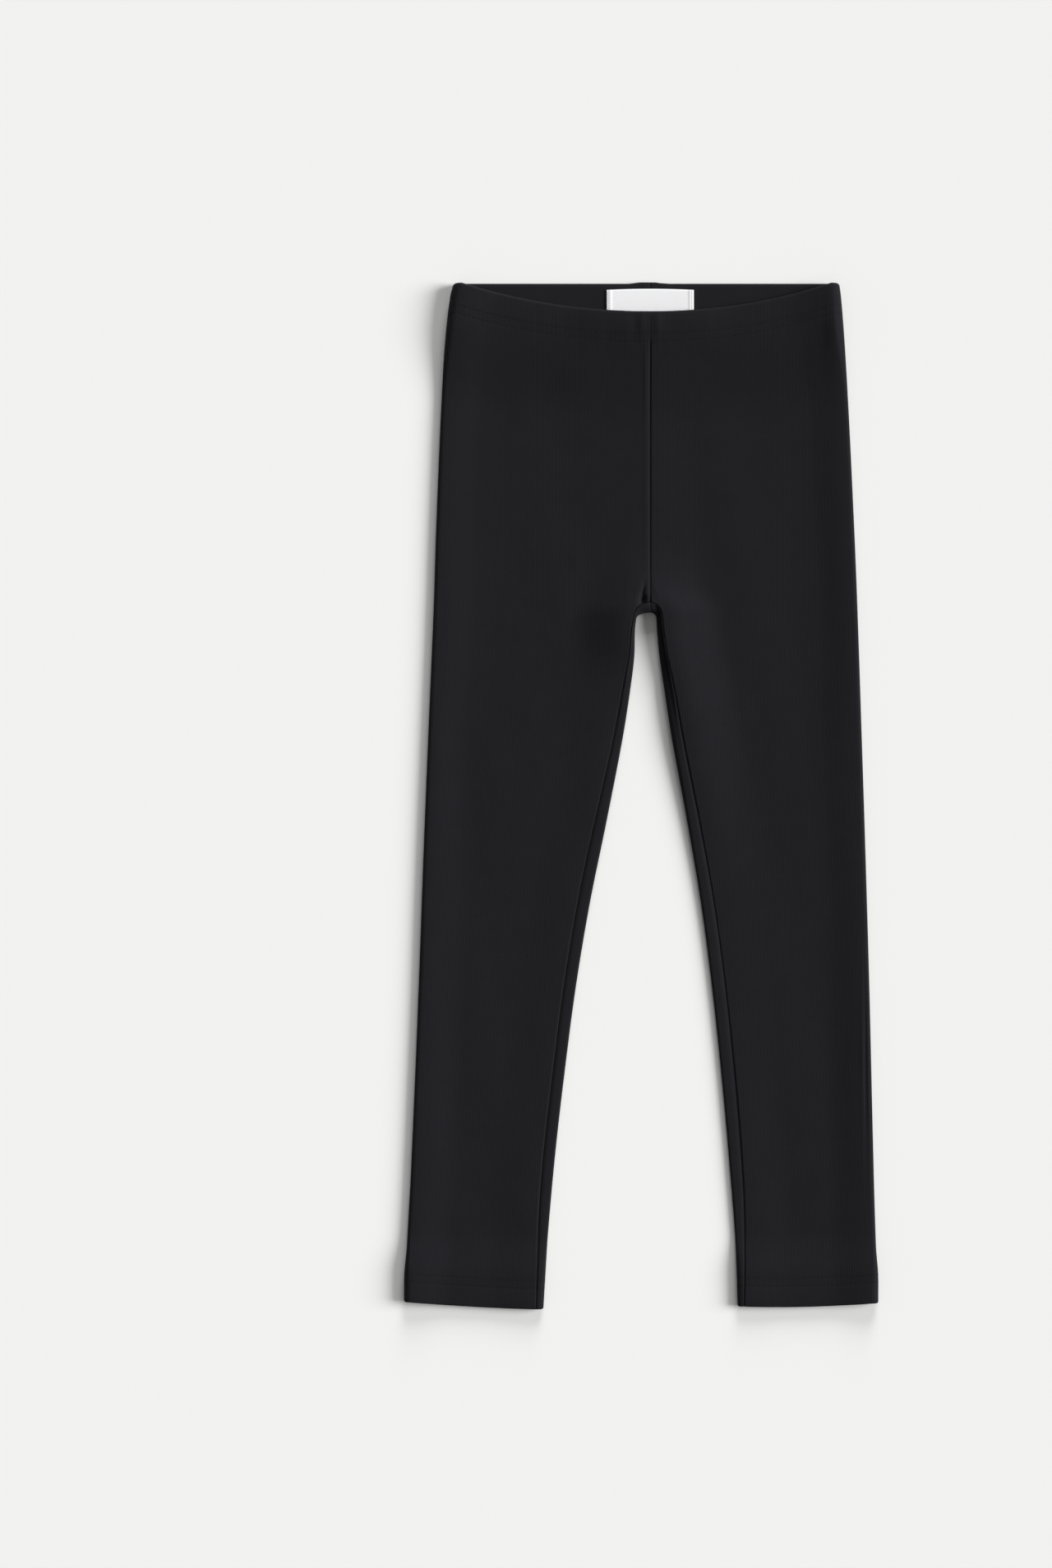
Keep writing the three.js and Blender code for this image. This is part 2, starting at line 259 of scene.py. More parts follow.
@dataclass(frozen=True)
class Sizes:
    """The sizes of the cloth and of its sewing.

    Attributes:
        cloth: Wall of the jersey.
        gap: Space at a seam, and between layers that lie on each other.
        length: Back waist edge to the lowest point of a hem.
        casing: Depth of the waist casing.
        hem: Depth of a leg hem.
        waist_dip: How far the front waist edge hangs below the back one.
        dip_fades: Where the front's rows run straight across again.
        slant_from: Where the rows begin to take on the hem's own slant.
        fold_air: How much the cloth swells at the side folds.
        fold_reach: How far in from the fold that swelling reaches.
        seam_ditch: Depth of the groove along a seam.
        ditch_reach: How far beside the front's seam it has gone.
        back_ditch_reach: The same beside the centre back seam.
        turned_ditch: Share of that depth by which a turned layer of the back gives way to it.
        casing_ditch: Share of that depth in the casing, where the seam is turned in.
        casing_ditch_ends: Over which rows it comes to its full depth below the casing.
        back_rise: How far the seam in the middle of the back's casing stands up.
        back_rise_middle: How far its middle lies towards the wearer's right.
        back_rise_side: Over which distance from its middle it falls.
        back_rise_foot: Over which rows it falls.
        step_start: Where the skin begins to come down past a turned end.
        casing_step: Where it is down below the casing.
        hem_step: Where it is down above a hem.
        elastic: Thickness of the waist elastic.
        front_allowance: Lift beside the centre front seam.
        inseam_allowance: Lift beside the inseams.
        allowance_flat: How far beside a seam that lift keeps its full height.
        allowance_reach: How far beside a seam it has gone.
        strip_slope: How far the inseam's strip climbs from the inner fold to the seam.
        needles: Distance between the two rows of a coverstitch.
        raw_edge: How far inside a turned end's raw edge the nearer row runs.
    """

    cloth: float = 1.0
    gap: float = 0.3
    length: float = 624.0
    casing: float = 19.0
    hem: float = 18.5
    waist_dip: float = 17.3
    dip_fades: float = 110.0
    slant_from: float = 540.0
    fold_air: float = 2.5
    fold_reach: float = 26.0
    seam_ditch: float = 0.6
    ditch_reach: float = 0.9
    back_ditch_reach: float = 1.2
    turned_ditch: float = 0.5
    casing_ditch: float = 0.08
    casing_ditch_ends: Climb = Climb(14, 21)
    back_rise: float = 0.85
    back_rise_middle: float = 1.2
    back_rise_side: Climb = Climb(5, 9.5)
    back_rise_foot: Climb = Climb(1, 9)
    step_start: float = 0.5
    casing_step: float = 55.0
    hem_step: float = 26.0
    elastic: float = 1.0
    front_allowance: float = 0.5
    inseam_allowance: float = 0.9
    allowance_flat: float = 4.0
    allowance_reach: float = 30.0
    strip_slope: float = 0.1
    needles: float = 4.8
    raw_edge: float = 0.8

    @property
    def stitch_rows(self) -> tuple[float, ...]:
        """Where the rows of coverstitch run, down from the waist edge."""
        casing = self.casing - self.raw_edge
        hem = self.length - self.hem + self.raw_edge
        return (casing - self.needles, casing, hem, hem + self.needles)


@dataclass(frozen=True)
class Crotch:
    """Where the legs part.

    Attributes:
        seam: Where the inseam crosses the centre front.
        arch: The top of the arch between the legs.
        shoulder: Where the arch has turned into the legs' inner folds.
        drape_from: Where the back's rows begin to sag towards the arch.
        bulk: How far the seams that meet here lift the cloth.
        bulk_above: How far above the arch that lift has dropped to a third.
        bulk_below: The same, down each leg's own inner fold.
        bulk_reach: How far beside the seam it has gone.
        parting: How far above the arch's seam the lifted cloth begins to part.
        allowance_full: Where the inseam's allowance has its own full lift.
        ditch: How much deeper the seams' groove is where they cross.
        ditch_reach: How far along the front's seam that is felt.
        strip_ditch_reach: The same along the inseam.
        strip_climb: How much more steeply each leg's strip beside the inseam climbs here.
        climb_full: Where that climb has its whole strength.
        climb_middle: Where it is steepest.
        climb_reach: How far from there it has dropped to a third.
    """

    seam: float = 194.2
    arch: float = 200.3
    shoulder: float = 204.0
    drape_from: float = 150.0
    bulk: float = 6.0
    bulk_above: float = 22.0
    bulk_below: dict[Side, float] = field(default_factory=lambda: {Side.LEFT: 100.0, Side.RIGHT: 30.0})
    bulk_reach: float = 38.0
    parting: float = 12.0
    allowance_full: float = 230.0
    ditch: float = 0.8
    ditch_reach: float = 3.0
    strip_ditch_reach: float = 5.0
    strip_climb: dict[Side, float] = field(default_factory=lambda: {Side.LEFT: 3.4, Side.RIGHT: 0.6})
    climb_full: float = 207.0
    climb_middle: float = 214.0
    climb_reach: float = 40.0


@dataclass(frozen=True)
class Label:
    """The plain label in the back of the waist.

    Attributes:
        half_width: Half its width.
        top: Its upper edge, below the back waist edge.
        bottom: Its lower edge.
        crown: How far the upper edge bows up in the middle.
        thick: Its thickness where the ends are folded under.
        thin: Its thickness between them.
        rest: Height of the cloth that it is sewn to.
        under_front: How much of it the front's edge lies on.
        fold_ends: Over which distance from its ends the folded layer stops.
        end_stitch: How far in from each end its stitching runs.
        stitch_dent: Depth of the line that the stitches pull in.
        stitch_reach: Half that line's width.
        edge_round: How far its ends are rounded down.
        edge_reach: Over which distance they are.
        bow: How far it bulges between its upper and its lower edge.
    """

    half_width: float = 26.5
    top: float = 3.4
    bottom: float = 20.4
    crown: float = 0.7
    thick: float = 0.95
    thin: float = 0.62
    rest: float = 3.9
    under_front: float = 1.0
    fold_ends: Climb = Climb(2.2, 3.6)
    end_stitch: float = 1.3
    stitch_dent: float = 0.18
    stitch_reach: float = 0.5
    edge_round: float = 0.3
    edge_reach: Climb = Climb(0, 0.8)
    bow: float = 0.12

    def down(self, x: float, share: float) -> float:
        """How far below the back waist edge a place lies, at a share of the way down the label."""
        crown = self.crown * (x / self.half_width) ** 2 * (1 - share)
        return mix(self.top, self.bottom, share) + crown


SIZES = Sizes()
CROTCH = Crotch()
LABEL = Label()


@dataclass(frozen=True)
class SoftForm:
    """A soft ridge or trough in the front of the leggings.

    Attributes:
        x: Middle, across from the centre seams.
        down: Middle, below the back waist edge.
        wide: Half its width.
        long: Half its length.
        height: Its height, below zero for a trough.
        lean: How far its lower end leans towards +X, in degrees.
    """

    x: float
    down: float
    wide: float
    long: float
    height: float
    lean: float = 0.0

    def lift(self, x: float, down: float) -> float:
        """How far this form raises the skin.

        Args:
            x: Distance across from the centre seams.
            down: Distance below the back waist edge.

        Returns:
            The height in millimetres.
        """
        if abs(down - self.down) > 3 * (self.long + self.wide):
            return 0.0
        turn = math.radians(self.lean)
        dx, dy = x - self.x, down - self.down
        across = dx * math.cos(turn) - dy * math.sin(turn)
        along = dx * math.sin(turn) + dy * math.cos(turn)
        return self.height * bell(across, self.wide) * bell(along, self.long)


SOFT_FORMS = {
    "seam allowance in the casing": SoftForm(x=4.4, down=24, wide=2.4, long=9, height=0.45),
    "pucker beside it": SoftForm(x=-5.0, down=24, wide=2.0, long=8, height=0.25),
    "hollow beside that": SoftForm(x=-9.6, down=26, wide=2.0, long=9, height=-0.2),
    "second pucker": SoftForm(x=-14.0, down=27, wide=2.4, long=8, height=0.2),
    "second hollow": SoftForm(x=11.5, down=25, wide=2.6, long=7, height=-0.2),
    "seam allowance under the casing": SoftForm(x=-2.9, down=60, wide=1.3, long=28, height=0.3),
    "lower seam allowance": SoftForm(x=-2.9, down=130, wide=1.4, long=50, height=0.2),
    "puff at the waist corner": SoftForm(x=112, down=28, wide=5, long=18, height=0.8, lean=3),
    "hollow inside the puff": SoftForm(x=103, down=30, wide=5, long=22, height=-0.2, lean=4),
    "press crease": SoftForm(x=131.0, down=474, wide=0.7, long=46, height=-0.8, lean=0.4),
    "edge of that crease": SoftForm(x=129.3, down=472, wide=1.4, long=42, height=0.3, lean=0.4),
    "faint crease at the hip": SoftForm(x=-50, down=172, wide=1.6, long=9, height=-0.2, lean=35),
    "pocket beside the crotch": SoftForm(x=-4.3, down=188, wide=0.9, long=3.6, height=-1.8, lean=-14),
    "foot of that pocket": SoftForm(x=-4.4, down=193.2, wide=1.7, long=2.8, height=-3.2, lean=-16),
    "lip of that pocket": SoftForm(x=-8.0, down=190, wide=2.4, long=8, height=0.25, lean=-16),
    "fold above the crotch": SoftForm(x=3.6, down=187, wide=1.8, long=6, height=0.3, lean=14),
}


@dataclass(frozen=True)
class Wave:
    """A low, even wave that runs through the cloth.

    Attributes:
        across: Wavelength across.
        down: Wavelength down.
        phase: Where it starts, in turns.
        height: Half its full height.
    """

    across: float
    down: float
    phase: float
    height: float

    def lift(self, x: float, down: float) -> float:
        """How far this wave raises the skin at a place."""
        return self.height * math.sin(math.tau * (x / self.across + down / self.down + self.phase))


WAVES = (
    Wave(across=96, down=310, phase=0.10, height=0.16),
    Wave(across=-61, down=210, phase=0.42, height=0.10),
    Wave(across=37, down=-170, phase=0.77, height=0.05),
)

GATHERS = (
    Wave(across=8.3, down=math.inf, phase=0, height=0.035),
    Wave(across=5.1, down=math.inf, phase=0.2069, height=0.021),
)


@dataclass(frozen=True)
class Relief:
    """The sizes of the low forms that run through the skin.

    Attributes:
        waves_side: Over which distance from the outer fold the long waves begin.
        waves_top: Over which rows they begin below the casing.
        waves_foot: Over which rows they fade above the hem.
        gathers_side: Over which distance from the outer fold the casing's gathers begin.
        gathers_foot: Over which rows they fade below the casing.
        stitch_dent: Depth of the line that a row of stitches pulls in.
        stitch_reach: Half that line's width.
        band: Height of the low ridge between a fold and its stitches.
        bands: Over which rows that ridge rises and falls, in the casing and in a hem.
        at_seam: Over which distance from the seam all these forms begin.
        strip_drop: Over which shares of the inseam's strip it falls to its edge.
        strip_ditch: Over which shares its edge's groove begins.
    """

    waves_side: Climb = Climb(0, 16)
    waves_top: Climb = Climb(19, 60)
    waves_foot: Climb = Climb(560, 600)
    gathers_side: Climb = Climb(0, 12)
    gathers_foot: Climb = Climb(16, 34)
    stitch_dent: float = 0.05
    stitch_reach: float = 0.75
    band: float = 0.14
    bands: tuple[tuple[Climb, Climb], ...] = (
        (Climb(2, 6), Climb(12, 18)),
        (Climb(611, 614), Climb(618, 623)),
    )
    at_seam: Climb = Climb(-0.35, 0.55)
    strip_drop: Climb = Climb(-0.6, 0.9)
    strip_ditch: Climb = Climb(0.7, 1)


RELIEF = Relief()


def turned_bulk(down: float) -> float:
    """How much a turned end inside adds to one layer's thickness.

    Args:
        down: Distance below the waist edge.

    Returns:
        The added thickness.
    """
    s = SIZES
    hem_top = s.length - s.hem
    held = s.cloth + s.elastic + 2 * s.gap
    casing = held * (1 - ramp(s.casing + s.step_start, s.casing + s.casing_step, down))
    hem = (s.cloth + s.gap) * ramp(hem_top - s.hem_step, hem_top - s.step_start, down)
    return casing + hem


def bunched(side: Side, down: float) -> float:
    """How far the seams that meet at the crotch lift the cloth along a leg's own lines."""
    reach = CROTCH.bulk_above if down < CROTCH.arch else CROTCH.bulk_below[side]
    return CROTCH.bulk * bell(down - CROTCH.arch, reach)


def allowance(down: float) -> float:
    """How much the seam allowances inside lift the cloth along the seams."""
    share = ramp(CROTCH.drape_from, CROTCH.allowance_full, down)
    return mix(SIZES.front_allowance, SIZES.inseam_allowance, share)


def beside_seam(side: Side, across: float, down: float) -> float:
    """How far a point of the front lies outside the seams, which part smoothly at the crotch.

    Args:
        side: The leg.
        across: Distance from the centre seams.
        down: Distance below the waist edge.

    Returns:
        The distance.
    """
    row = max(down, CROTCH.shoulder)
    inseam = side.look_up(INNER_EDGE, row) + side.look_up(INSEAM_ROLL, row)
    return max(0.0, across - inseam * ramp(CROTCH.seam - CROTCH.parting, CROTCH.shoulder, down))


def label_lift(across: float, down: float) -> float:
    """How much the label lifts the front edge that lies over it.

    Args:
        across: Distance from the centre seams.
        down: Distance below the back waist edge.

    Returns:
        The lift.
    """
    start, end = SIZES.step_start, SIZES.hem_step
    beside = 1 - ramp(LABEL.half_width + start, LABEL.half_width + end, abs(across))
    below = 1 - ramp(LABEL.bottom + start, LABEL.bottom + end, down)
    return (LABEL.under_front + SIZES.gap) * beside * below


def side_height(down: float) -> float:
    """Both layers' height at the outer fold."""
    return 2 * (SIZES.cloth + turned_bulk(down)) + SIZES.gap + SIZES.fold_air


def inner_height(side: Side, down: float) -> float:
    """Both layers' height at the inner fold."""
    return 2 * (SIZES.cloth + turned_bulk(down)) + SIZES.gap + allowance(down) + bunched(side, down)


# The form of the cloth.


class Zone(Enum):
    """The part of a panel that a column belongs to."""

    FRONT = "front"
    SIDE = "side fold"
    BACK = "back"
    TURN = "inner fold"
    STRIP = "inseam strip"


class Measure(Enum):
    """How a column of the front is placed."""

    FROM_SEAM = "distance from the seam"
    SHARE = "share of the way from the seam to the side"
    FROM_SIDE = "distance from the side fold"


@dataclass(frozen=True)
class Column:
    """One line of points that runs down a panel.

    Attributes:
        zone: The part of the panel.
        value: Its distance, share or angle there.
        measure: What the value means on the front.
    """

    zone: Zone
    value: float
    measure: Measure = Measure.SHARE

    @property
    def below_crotch(self) -> bool:
        """Whether the column exists only below the crotch."""
        return self.zone in (Zone.TURN, Zone.STRIP)

    def from_seam(self, span: float) -> float:
        """The column's distance from the seam on the front.

        Args:
            span: Distance from the seam to the side fold.

        Returns:
            The distance.
        """
        if self.measure is Measure.FROM_SEAM:
            return self.value
        return span - self.value if self.measure is Measure.FROM_SIDE else self.value * span


@dataclass(frozen=True)
class Plan:
    """One row of a leg, seen from above.

    Attributes:
        side: Centre of the outer fold's roll.
        seam: The front's end at its seam.
        back: The end of the flat back: the centre back seam, or the centre of the inner fold's roll.
        strip_end: The back's own edge at the inseam, below the crotch.
        inward: The way from the inner fold to the inseam.
        inner_roll: Half the height of the inner fold's roll.
        reach: Half its width.
    """

    side: Vector
    seam: Vector
    back: Vector
    strip_end: Vector | None = None
    inward: Vector | None = None
    inner_roll: float = 0.0
    reach: float = 0.0


@dataclass(frozen=True)
class Face:
    """Where one face of a panel's wall lies in one row.

    Attributes:
        row: Distance below the waist edge.
        depth: How far inside the outer skin.
    """

    row: float
    depth: float


class Row(NamedTuple):
    """One row of a panel: its outer and its inner face."""

    outer: Face
    inner: Face


class Band(NamedTuple):
    """A stretch of rows that are evenly spaced, down to where the next one starts.

    Attributes:
        start: Its first row.
        step: The longest step from row to row.
    """

    start: float
    step: float


class PanelLayout:
    """The rows and columns of points that a leg panel is made from.

    Attributes:
        FRONT_FROM_SEAM: Columns of the front, by their distance from the seam.
        FRONT_SHARES: Columns by their share of the way from the seam to the side fold.
        FRONT_FROM_SIDE: Columns by their distance from the side fold.
        BACK_SHARES: Columns of the back, by their share of the way from the side fold.
        STRIP_SHARES: Columns of the inseam's strip, by their share of the way from the inner fold.
        SIDE_STEPS: Steps round the side fold.
        TURN_STEPS: Steps round the inner fold.
        FOLD_STEPS: Steps round a turned end's fold.
        CASING_FIRST: The first row below the waist's fold.
        HEM_LAST: How far the last row stands above a hem's fold.
        PLAIN_STEP: Spacing of a turned end's rows away from its stitches.
        STITCHED_STEP: Spacing along them.
        STITCHED_MARGIN: How far past the stitches that spacing goes on.
        HEM_TOP: Where a hem's raw edge lies.
        BODY: The rows between the casing and the hem.
    """

    FRONT_FROM_SEAM = (
        *(0, 0.25, 0.5, 0.8, 1.2, 1.7, 2.2, 2.7, 3.2, 3.8),
        *(4.5, 5.3, 6.2, 7.2, 8.4, 9.8, 11.4, 13.2, 15.2),
    )
    FRONT_SHARES = tuple(mix(0.205, 0.705, i / 24) for i in range(25))
    FRONT_FROM_SIDE = (22, 19.5, 17, 14.5, 12.4, 10.6, 9.0, 7.6, 6.4, 5.4, 4.4, 3.4, 2.4, 1.6, 0.8, 0)
    BACK_SHARES = (*(i / 18 for i in range(18)), 0.97, 0.985, 0.993, 1.0)
    SIDE_STEPS = 12
    TURN_STEPS = 12
    STRIP_SHARES = (0, 0.25, 0.5, 0.75, 0.88, 1.0)
    FOLD_STEPS = 10
    CASING_FIRST = 3.0
    HEM_LAST = 2.0
    PLAIN_STEP = 1.5
    STITCHED_STEP = 0.6
    STITCHED_MARGIN = 2.0
    HEM_TOP = SIZES.length - SIZES.hem
    BODY = (
        Band(start=SIZES.casing, step=0.8),
        Band(start=29, step=2.8),
        Band(start=CROTCH.seam - 9, step=1.2),
        Band(start=CROTCH.seam, step=0.75),
        Band(start=CROTCH.shoulder, step=1.6),
        Band(start=226, step=3),
        Band(start=HEM_TOP - 9, step=0.9),
    )

    @cached_property
    def ring(self) -> list[Column]:
        """The columns from the front's seam, round the side and the back."""
        turns = range(1, self.SIDE_STEPS)
        return [
            *(Column(Zone.FRONT, v, Measure.FROM_SEAM) for v in self.FRONT_FROM_SEAM),
            *(Column(Zone.FRONT, v) for v in self.FRONT_SHARES),
            *(Column(Zone.FRONT, v, Measure.FROM_SIDE) for v in self.FRONT_FROM_SIDE),
            *(Column(Zone.SIDE, math.pi * (1 - i / self.SIDE_STEPS)) for i in turns),
            *(Column(Zone.BACK, v) for v in self.BACK_SHARES),
        ]

    @cached_property
    def inseam(self) -> list[Column]:
        """The columns round the inner fold, to the back's edge at the inseam."""
        turns = range(1, self.TURN_STEPS)
        return [
            *(Column(Zone.TURN, math.pi * i / self.TURN_STEPS) for i in turns),
            *(Column(Zone.STRIP, v) for v in self.STRIP_SHARES),
        ]

    @cached_property
    def casing_rows(self) -> list[float]:
        """The rows in the waist casing, below its fold."""
        lower = SIZES.stitch_rows[0] - self.STITCHED_MARGIN
        plain = spaced(self.CASING_FIRST, lower, self.PLAIN_STEP)
        return [*plain, *spaced(lower, SIZES.casing, self.STITCHED_STEP)]

    @cached_property
    def hem_rows(self) -> list[float]:
        """The rows in a hem, above its fold, from the raw edge down."""
        lower = SIZES.stitch_rows[-1] + self.STITCHED_MARGIN
        stitched = spaced(self.HEM_TOP, lower, self.STITCHED_STEP)
        return [*stitched, *spaced(lower, SIZES.length - self.HEM_LAST, self.PLAIN_STEP)]

    @cached_property
    def body_rows(self) -> list[float]:
        """The rows between the casing and the hem."""
        ends = [*(band.start for band in self.BODY[1:]), self.HEM_TOP]
        return [row for band, end in zip(self.BODY, ends) for row in spaced(band.start, end, band.step)]

    def turned_end(self, edge: float, into: int, turned: Iterable[float], held: float) -> list[Row]:
        """A turned end, from its raw edge inside, round its fold, to the skin.

        Args:
            edge: Where the fold lies.
            into: +1 where the panel runs on down from it, or -1.
            turned: The rows of the turned layer, raw edge first.
            held: Space between the skin's wall and the turned one.

        Returns:
            The rows.
        """
        deep = 2 * SIZES.cloth + held
        wide, tight = deep / 2, deep / 2 - SIZES.cloth
        rows = [Row(Face(row, deep), Face(row, deep - SIZES.cloth)) for row in turned]
        for step in range(self.FOLD_STEPS + 1):
            angle = math.pi * step / self.FOLD_STEPS
            along, across = math.sin(angle), math.cos(angle)
            outer = Face(edge + into * wide * (1 - along), wide * (1 + across))
            inner = Face(edge + into * (wide - tight * along), wide + tight * across)
            rows.append(Row(outer, inner))
        return rows

    @cached_property
    def rows(self) -> list[Row]:
        """All rows, from the casing's raw edge over the waist, down the leg and round the hem."""
        plain = (*self.casing_rows, *self.body_rows, *self.hem_rows)
        casing = [SIZES.casing, *reversed(self.casing_rows)]
        return [
            *self.turned_end(0, 1, casing, SIZES.elastic + 2 * SIZES.gap),
            *(Row(Face(row, 0), Face(row, SIZES.cloth)) for row in plain),
            *reversed(self.turned_end(SIZES.length, -1, self.hem_rows, SIZES.gap)),
        ]


LAYOUT = PanelLayout()


@dataclass
class LegForm:
    """The form of one leg as it lies, point by point.

    Attributes:
        side: The leg.
        plans: The rows that have been worked out so far.
    """

    side: Side
    plans: dict[float, Plan] = field(default_factory=dict)

    def hem_rise(self, row: float, from_side: float) -> float:
        """How far the hem's line lifts a point towards the waist.

        Args:
            row: Distance below the waist edge.
            from_side: Share of the way from the outer fold to the inner one.

        Returns:
            The distance.
        """
        rise = HEM_RISE[self.side]
        line = mix(rise.outer, rise.inner, from_side) - rise.bow * 4 * from_side * (1 - from_side)
        return line * ramp(SIZES.slant_from, LAYOUT.HEM_TOP - SIZES.hem_step, row)

    def waist_dip(self, row: float, from_side: float) -> float:
        """How far the front's row hangs down, at a share of the way in from the outer fold."""
        fade = 1 - ramp(SIZES.casing + SIZES.hem_step, SIZES.dip_fades, row)
        return SIZES.waist_dip * from_side * (2 - from_side) * fade

    @staticmethod
    def arch_point(across: float, top: float, turn: float, bottom: float) -> Vector:
        """A point of the quarter ellipse from the centre seams out and down to a leg's edge."""
        return Vector((mix(0, across, math.sin(turn)), mix(bottom, top, math.cos(turn))))

    def plan(self, row: float) -> Plan:
        """One row seen from above.

        Args:
            row: Distance below the waist edge.

        Returns:
            The row's plan.
        """
        if row in self.plans:
            return self.plans[row]
        roll = side_height(row) / 2
        side = Vector((self.side.look_up(OUTER_EDGE, row) - roll, row))
        if row < CROTCH.seam:
            sag = CROTCH.arch - inner_height(self.side, CROTCH.seam) / 2 - CROTCH.seam
            back = row + sag * ramp(CROTCH.drape_from, CROTCH.seam, row)
            made = Plan(side, Vector((0, row)), Vector((0, back)))
        else:
            turn = share_of(CROTCH.seam, CROTCH.shoulder, row) * math.pi / 2
            edge_row = max(row, CROTCH.shoulder)
            inner = self.side.look_up(INNER_EDGE, edge_row)
            rolled = inner + self.side.look_up(INSEAM_ROLL, edge_row)
            fold = self.arch_point(inner, CROTCH.arch, turn, edge_row)
            seam = self.arch_point(rolled, CROTCH.seam, turn, edge_row)
            inward = (seam - fold).normalized()
            inner_roll = inner_height(self.side, row) / 2
            reach = min(inner_roll, (seam - fold).length - 2 * SIZES.gap)
            made = Plan(side, seam, fold + inward * reach, seam, inward, inner_roll, reach)
        self.plans[row] = made
        return made

    def strip_slope(self, row: float) -> float:
        """How far the inseam's strip climbs from the inner fold to the seam."""
        climb = CROTCH.strip_climb[self.side] * ramp(CROTCH.seam, CROTCH.climb_full, row)
        return SIZES.strip_slope + climb * bell(row - CROTCH.climb_middle, CROTCH.climb_reach)

    def relief(self, x: float, row: float, down: float, from_seam: float, from_side: float) -> float:
        """The small forms of the front's skin.

        Args:
            x: Distance across from the centre seams, with its sign.
            row: The point's row, below the waist edge.
            down: Where it lies, below the back waist edge.
            from_seam: Distance from the seam.
            from_side: Distance from the outer fold's roll.

        Returns:
            The height to add.
        """
        form = RELIEF
        lift = sum(soft.lift(x, down) for soft in SOFT_FORMS.values())
        waves = form.waves_side.at(from_side) * form.waves_top.at(row) * (1 - form.waves_foot.at(row))
        lift += waves * sum(wave.lift(x, down) for wave in WAVES)
        gathers = form.gathers_side.at(from_side) * (1 - form.gathers_foot.at(row))
        lift += gathers * sum(wave.lift(x, down) for wave in GATHERS)
        lift -= form.stitch_dent * sum(bell(row - line, form.stitch_reach) for line in SIZES.stitch_rows)
        lift += form.band * sum(rise.at(row) * (1 - fall.at(row)) for rise, fall in form.bands)
        return lift * form.at_seam.at(from_seam)

    def front_height(self, row: float, spot: Vector, from_seam: float, from_side: float) -> float:
        """The height of the front's skin.

        Args:
            row: The point's row, below the waist edge.
            spot: Where it lies, across and down.
            from_seam: Distance from the seam.
            from_side: Distance from the outer fold's roll.

        Returns:
            The height.
        """
        x, down = self.side.sign * spot.x, spot.y
        layers = 2 * SIZES.cloth + SIZES.gap + turned_bulk(row) + turned_bulk(down) + label_lift(x, down)
        side = SIZES.fold_air * (1 - ramp(0, SIZES.fold_reach, from_side))
        beside, flat = beside_seam(self.side, spot.x, down), SIZES.allowance_flat
        seam = allowance(down) * (1 - ramp(flat, SIZES.allowance_reach, beside))
        seam += bunched(self.side, down) * (1 - ramp(flat, CROTCH.bulk_reach, beside))
        ditch = SIZES.seam_ditch + CROTCH.ditch * bell(down - CROTCH.seam, CROTCH.ditch_reach)
        ditch *= 1 - ramp(0, SIZES.ditch_reach, from_seam)
        ditch *= mix(SIZES.casing_ditch, 1, SIZES.casing_ditch_ends.at(row))
        return layers + side + seam - ditch + self.relief(x, row, down, from_seam, from_side)

    def back_rise(self, across: float, row: float) -> float:
        """How far the back waist edge stands up over the turned seam in its middle."""
        beside = SIZES.back_rise_side.at(abs(self.side.sign * across + SIZES.back_rise_middle))
        return SIZES.back_rise * (1 - beside) * (1 - SIZES.back_rise_foot.at(row))

    def place(self, row: float, column: Column, depth: float) -> Point:
        """A point of the panel.

        Args:
            row: Distance below the waist edge.
            column: The line of points that it belongs to.
            depth: How far inside the outer skin it lies.

        Returns:
            The point in millimetres, from where the back waist edge meets the centre back seam.
        """
        plan = self.plan(row)
        zone, value = column.zone, column.value
        if zone is Zone.FRONT:
            span = (plan.side - plan.seam).length
            from_seam = column.from_seam(span)
            share = from_seam / span
            spot = plan.seam.lerp(plan.side, share)
            spot.y += self.waist_dip(row, 1 - share) - self.hem_rise(row, 1 - share)
            height = self.front_height(row, spot, from_seam, span - from_seam) - depth
        elif zone is Zone.SIDE:
            roll = side_height(row) / 2
            spot = plan.side.copy()
            spot.x += (roll - depth) * math.sin(value)
            spot.y -= self.hem_rise(row, 0)
            height = roll - (roll - depth) * math.cos(value)
        elif zone is Zone.BACK:
            spot = plan.side.lerp(plan.back, value)
            spot.y -= self.hem_rise(row, value) + self.back_rise(spot.x, row)
            beside = ramp(0, SIZES.back_ditch_reach, spot.x - plan.back.x)
            ditch = 0.0 if plan.inward else SIZES.seam_ditch * (1 - beside)
            height = depth + ditch * (1 if depth <= SIZES.cloth else -SIZES.turned_ditch)
        elif zone is Zone.TURN:
            spot = plan.back - plan.inward * ((plan.reach - depth) * math.sin(value))
            spot.y -= self.hem_rise(row, 1)
            low = plan.inner_roll - self.strip_slope(row) / 2
            height = low - (low - depth) * math.cos(value)
        else:
            spot = plan.back.lerp(plan.strip_end, value)
            spot.y -= self.hem_rise(row, 1)
            fall = RELIEF.strip_drop
            drop = self.strip_slope(row) * (1 - fall.at(value)) / (1 - fall.at(0))
            ditch = SIZES.seam_ditch + CROTCH.ditch * bell(row - CROTCH.seam, CROTCH.strip_ditch_reach)
            height = 2 * plan.inner_roll - drop - depth - ditch * RELIEF.strip_ditch.at(value)
        return (self.side.sign * spot.x, -spot.y, height)

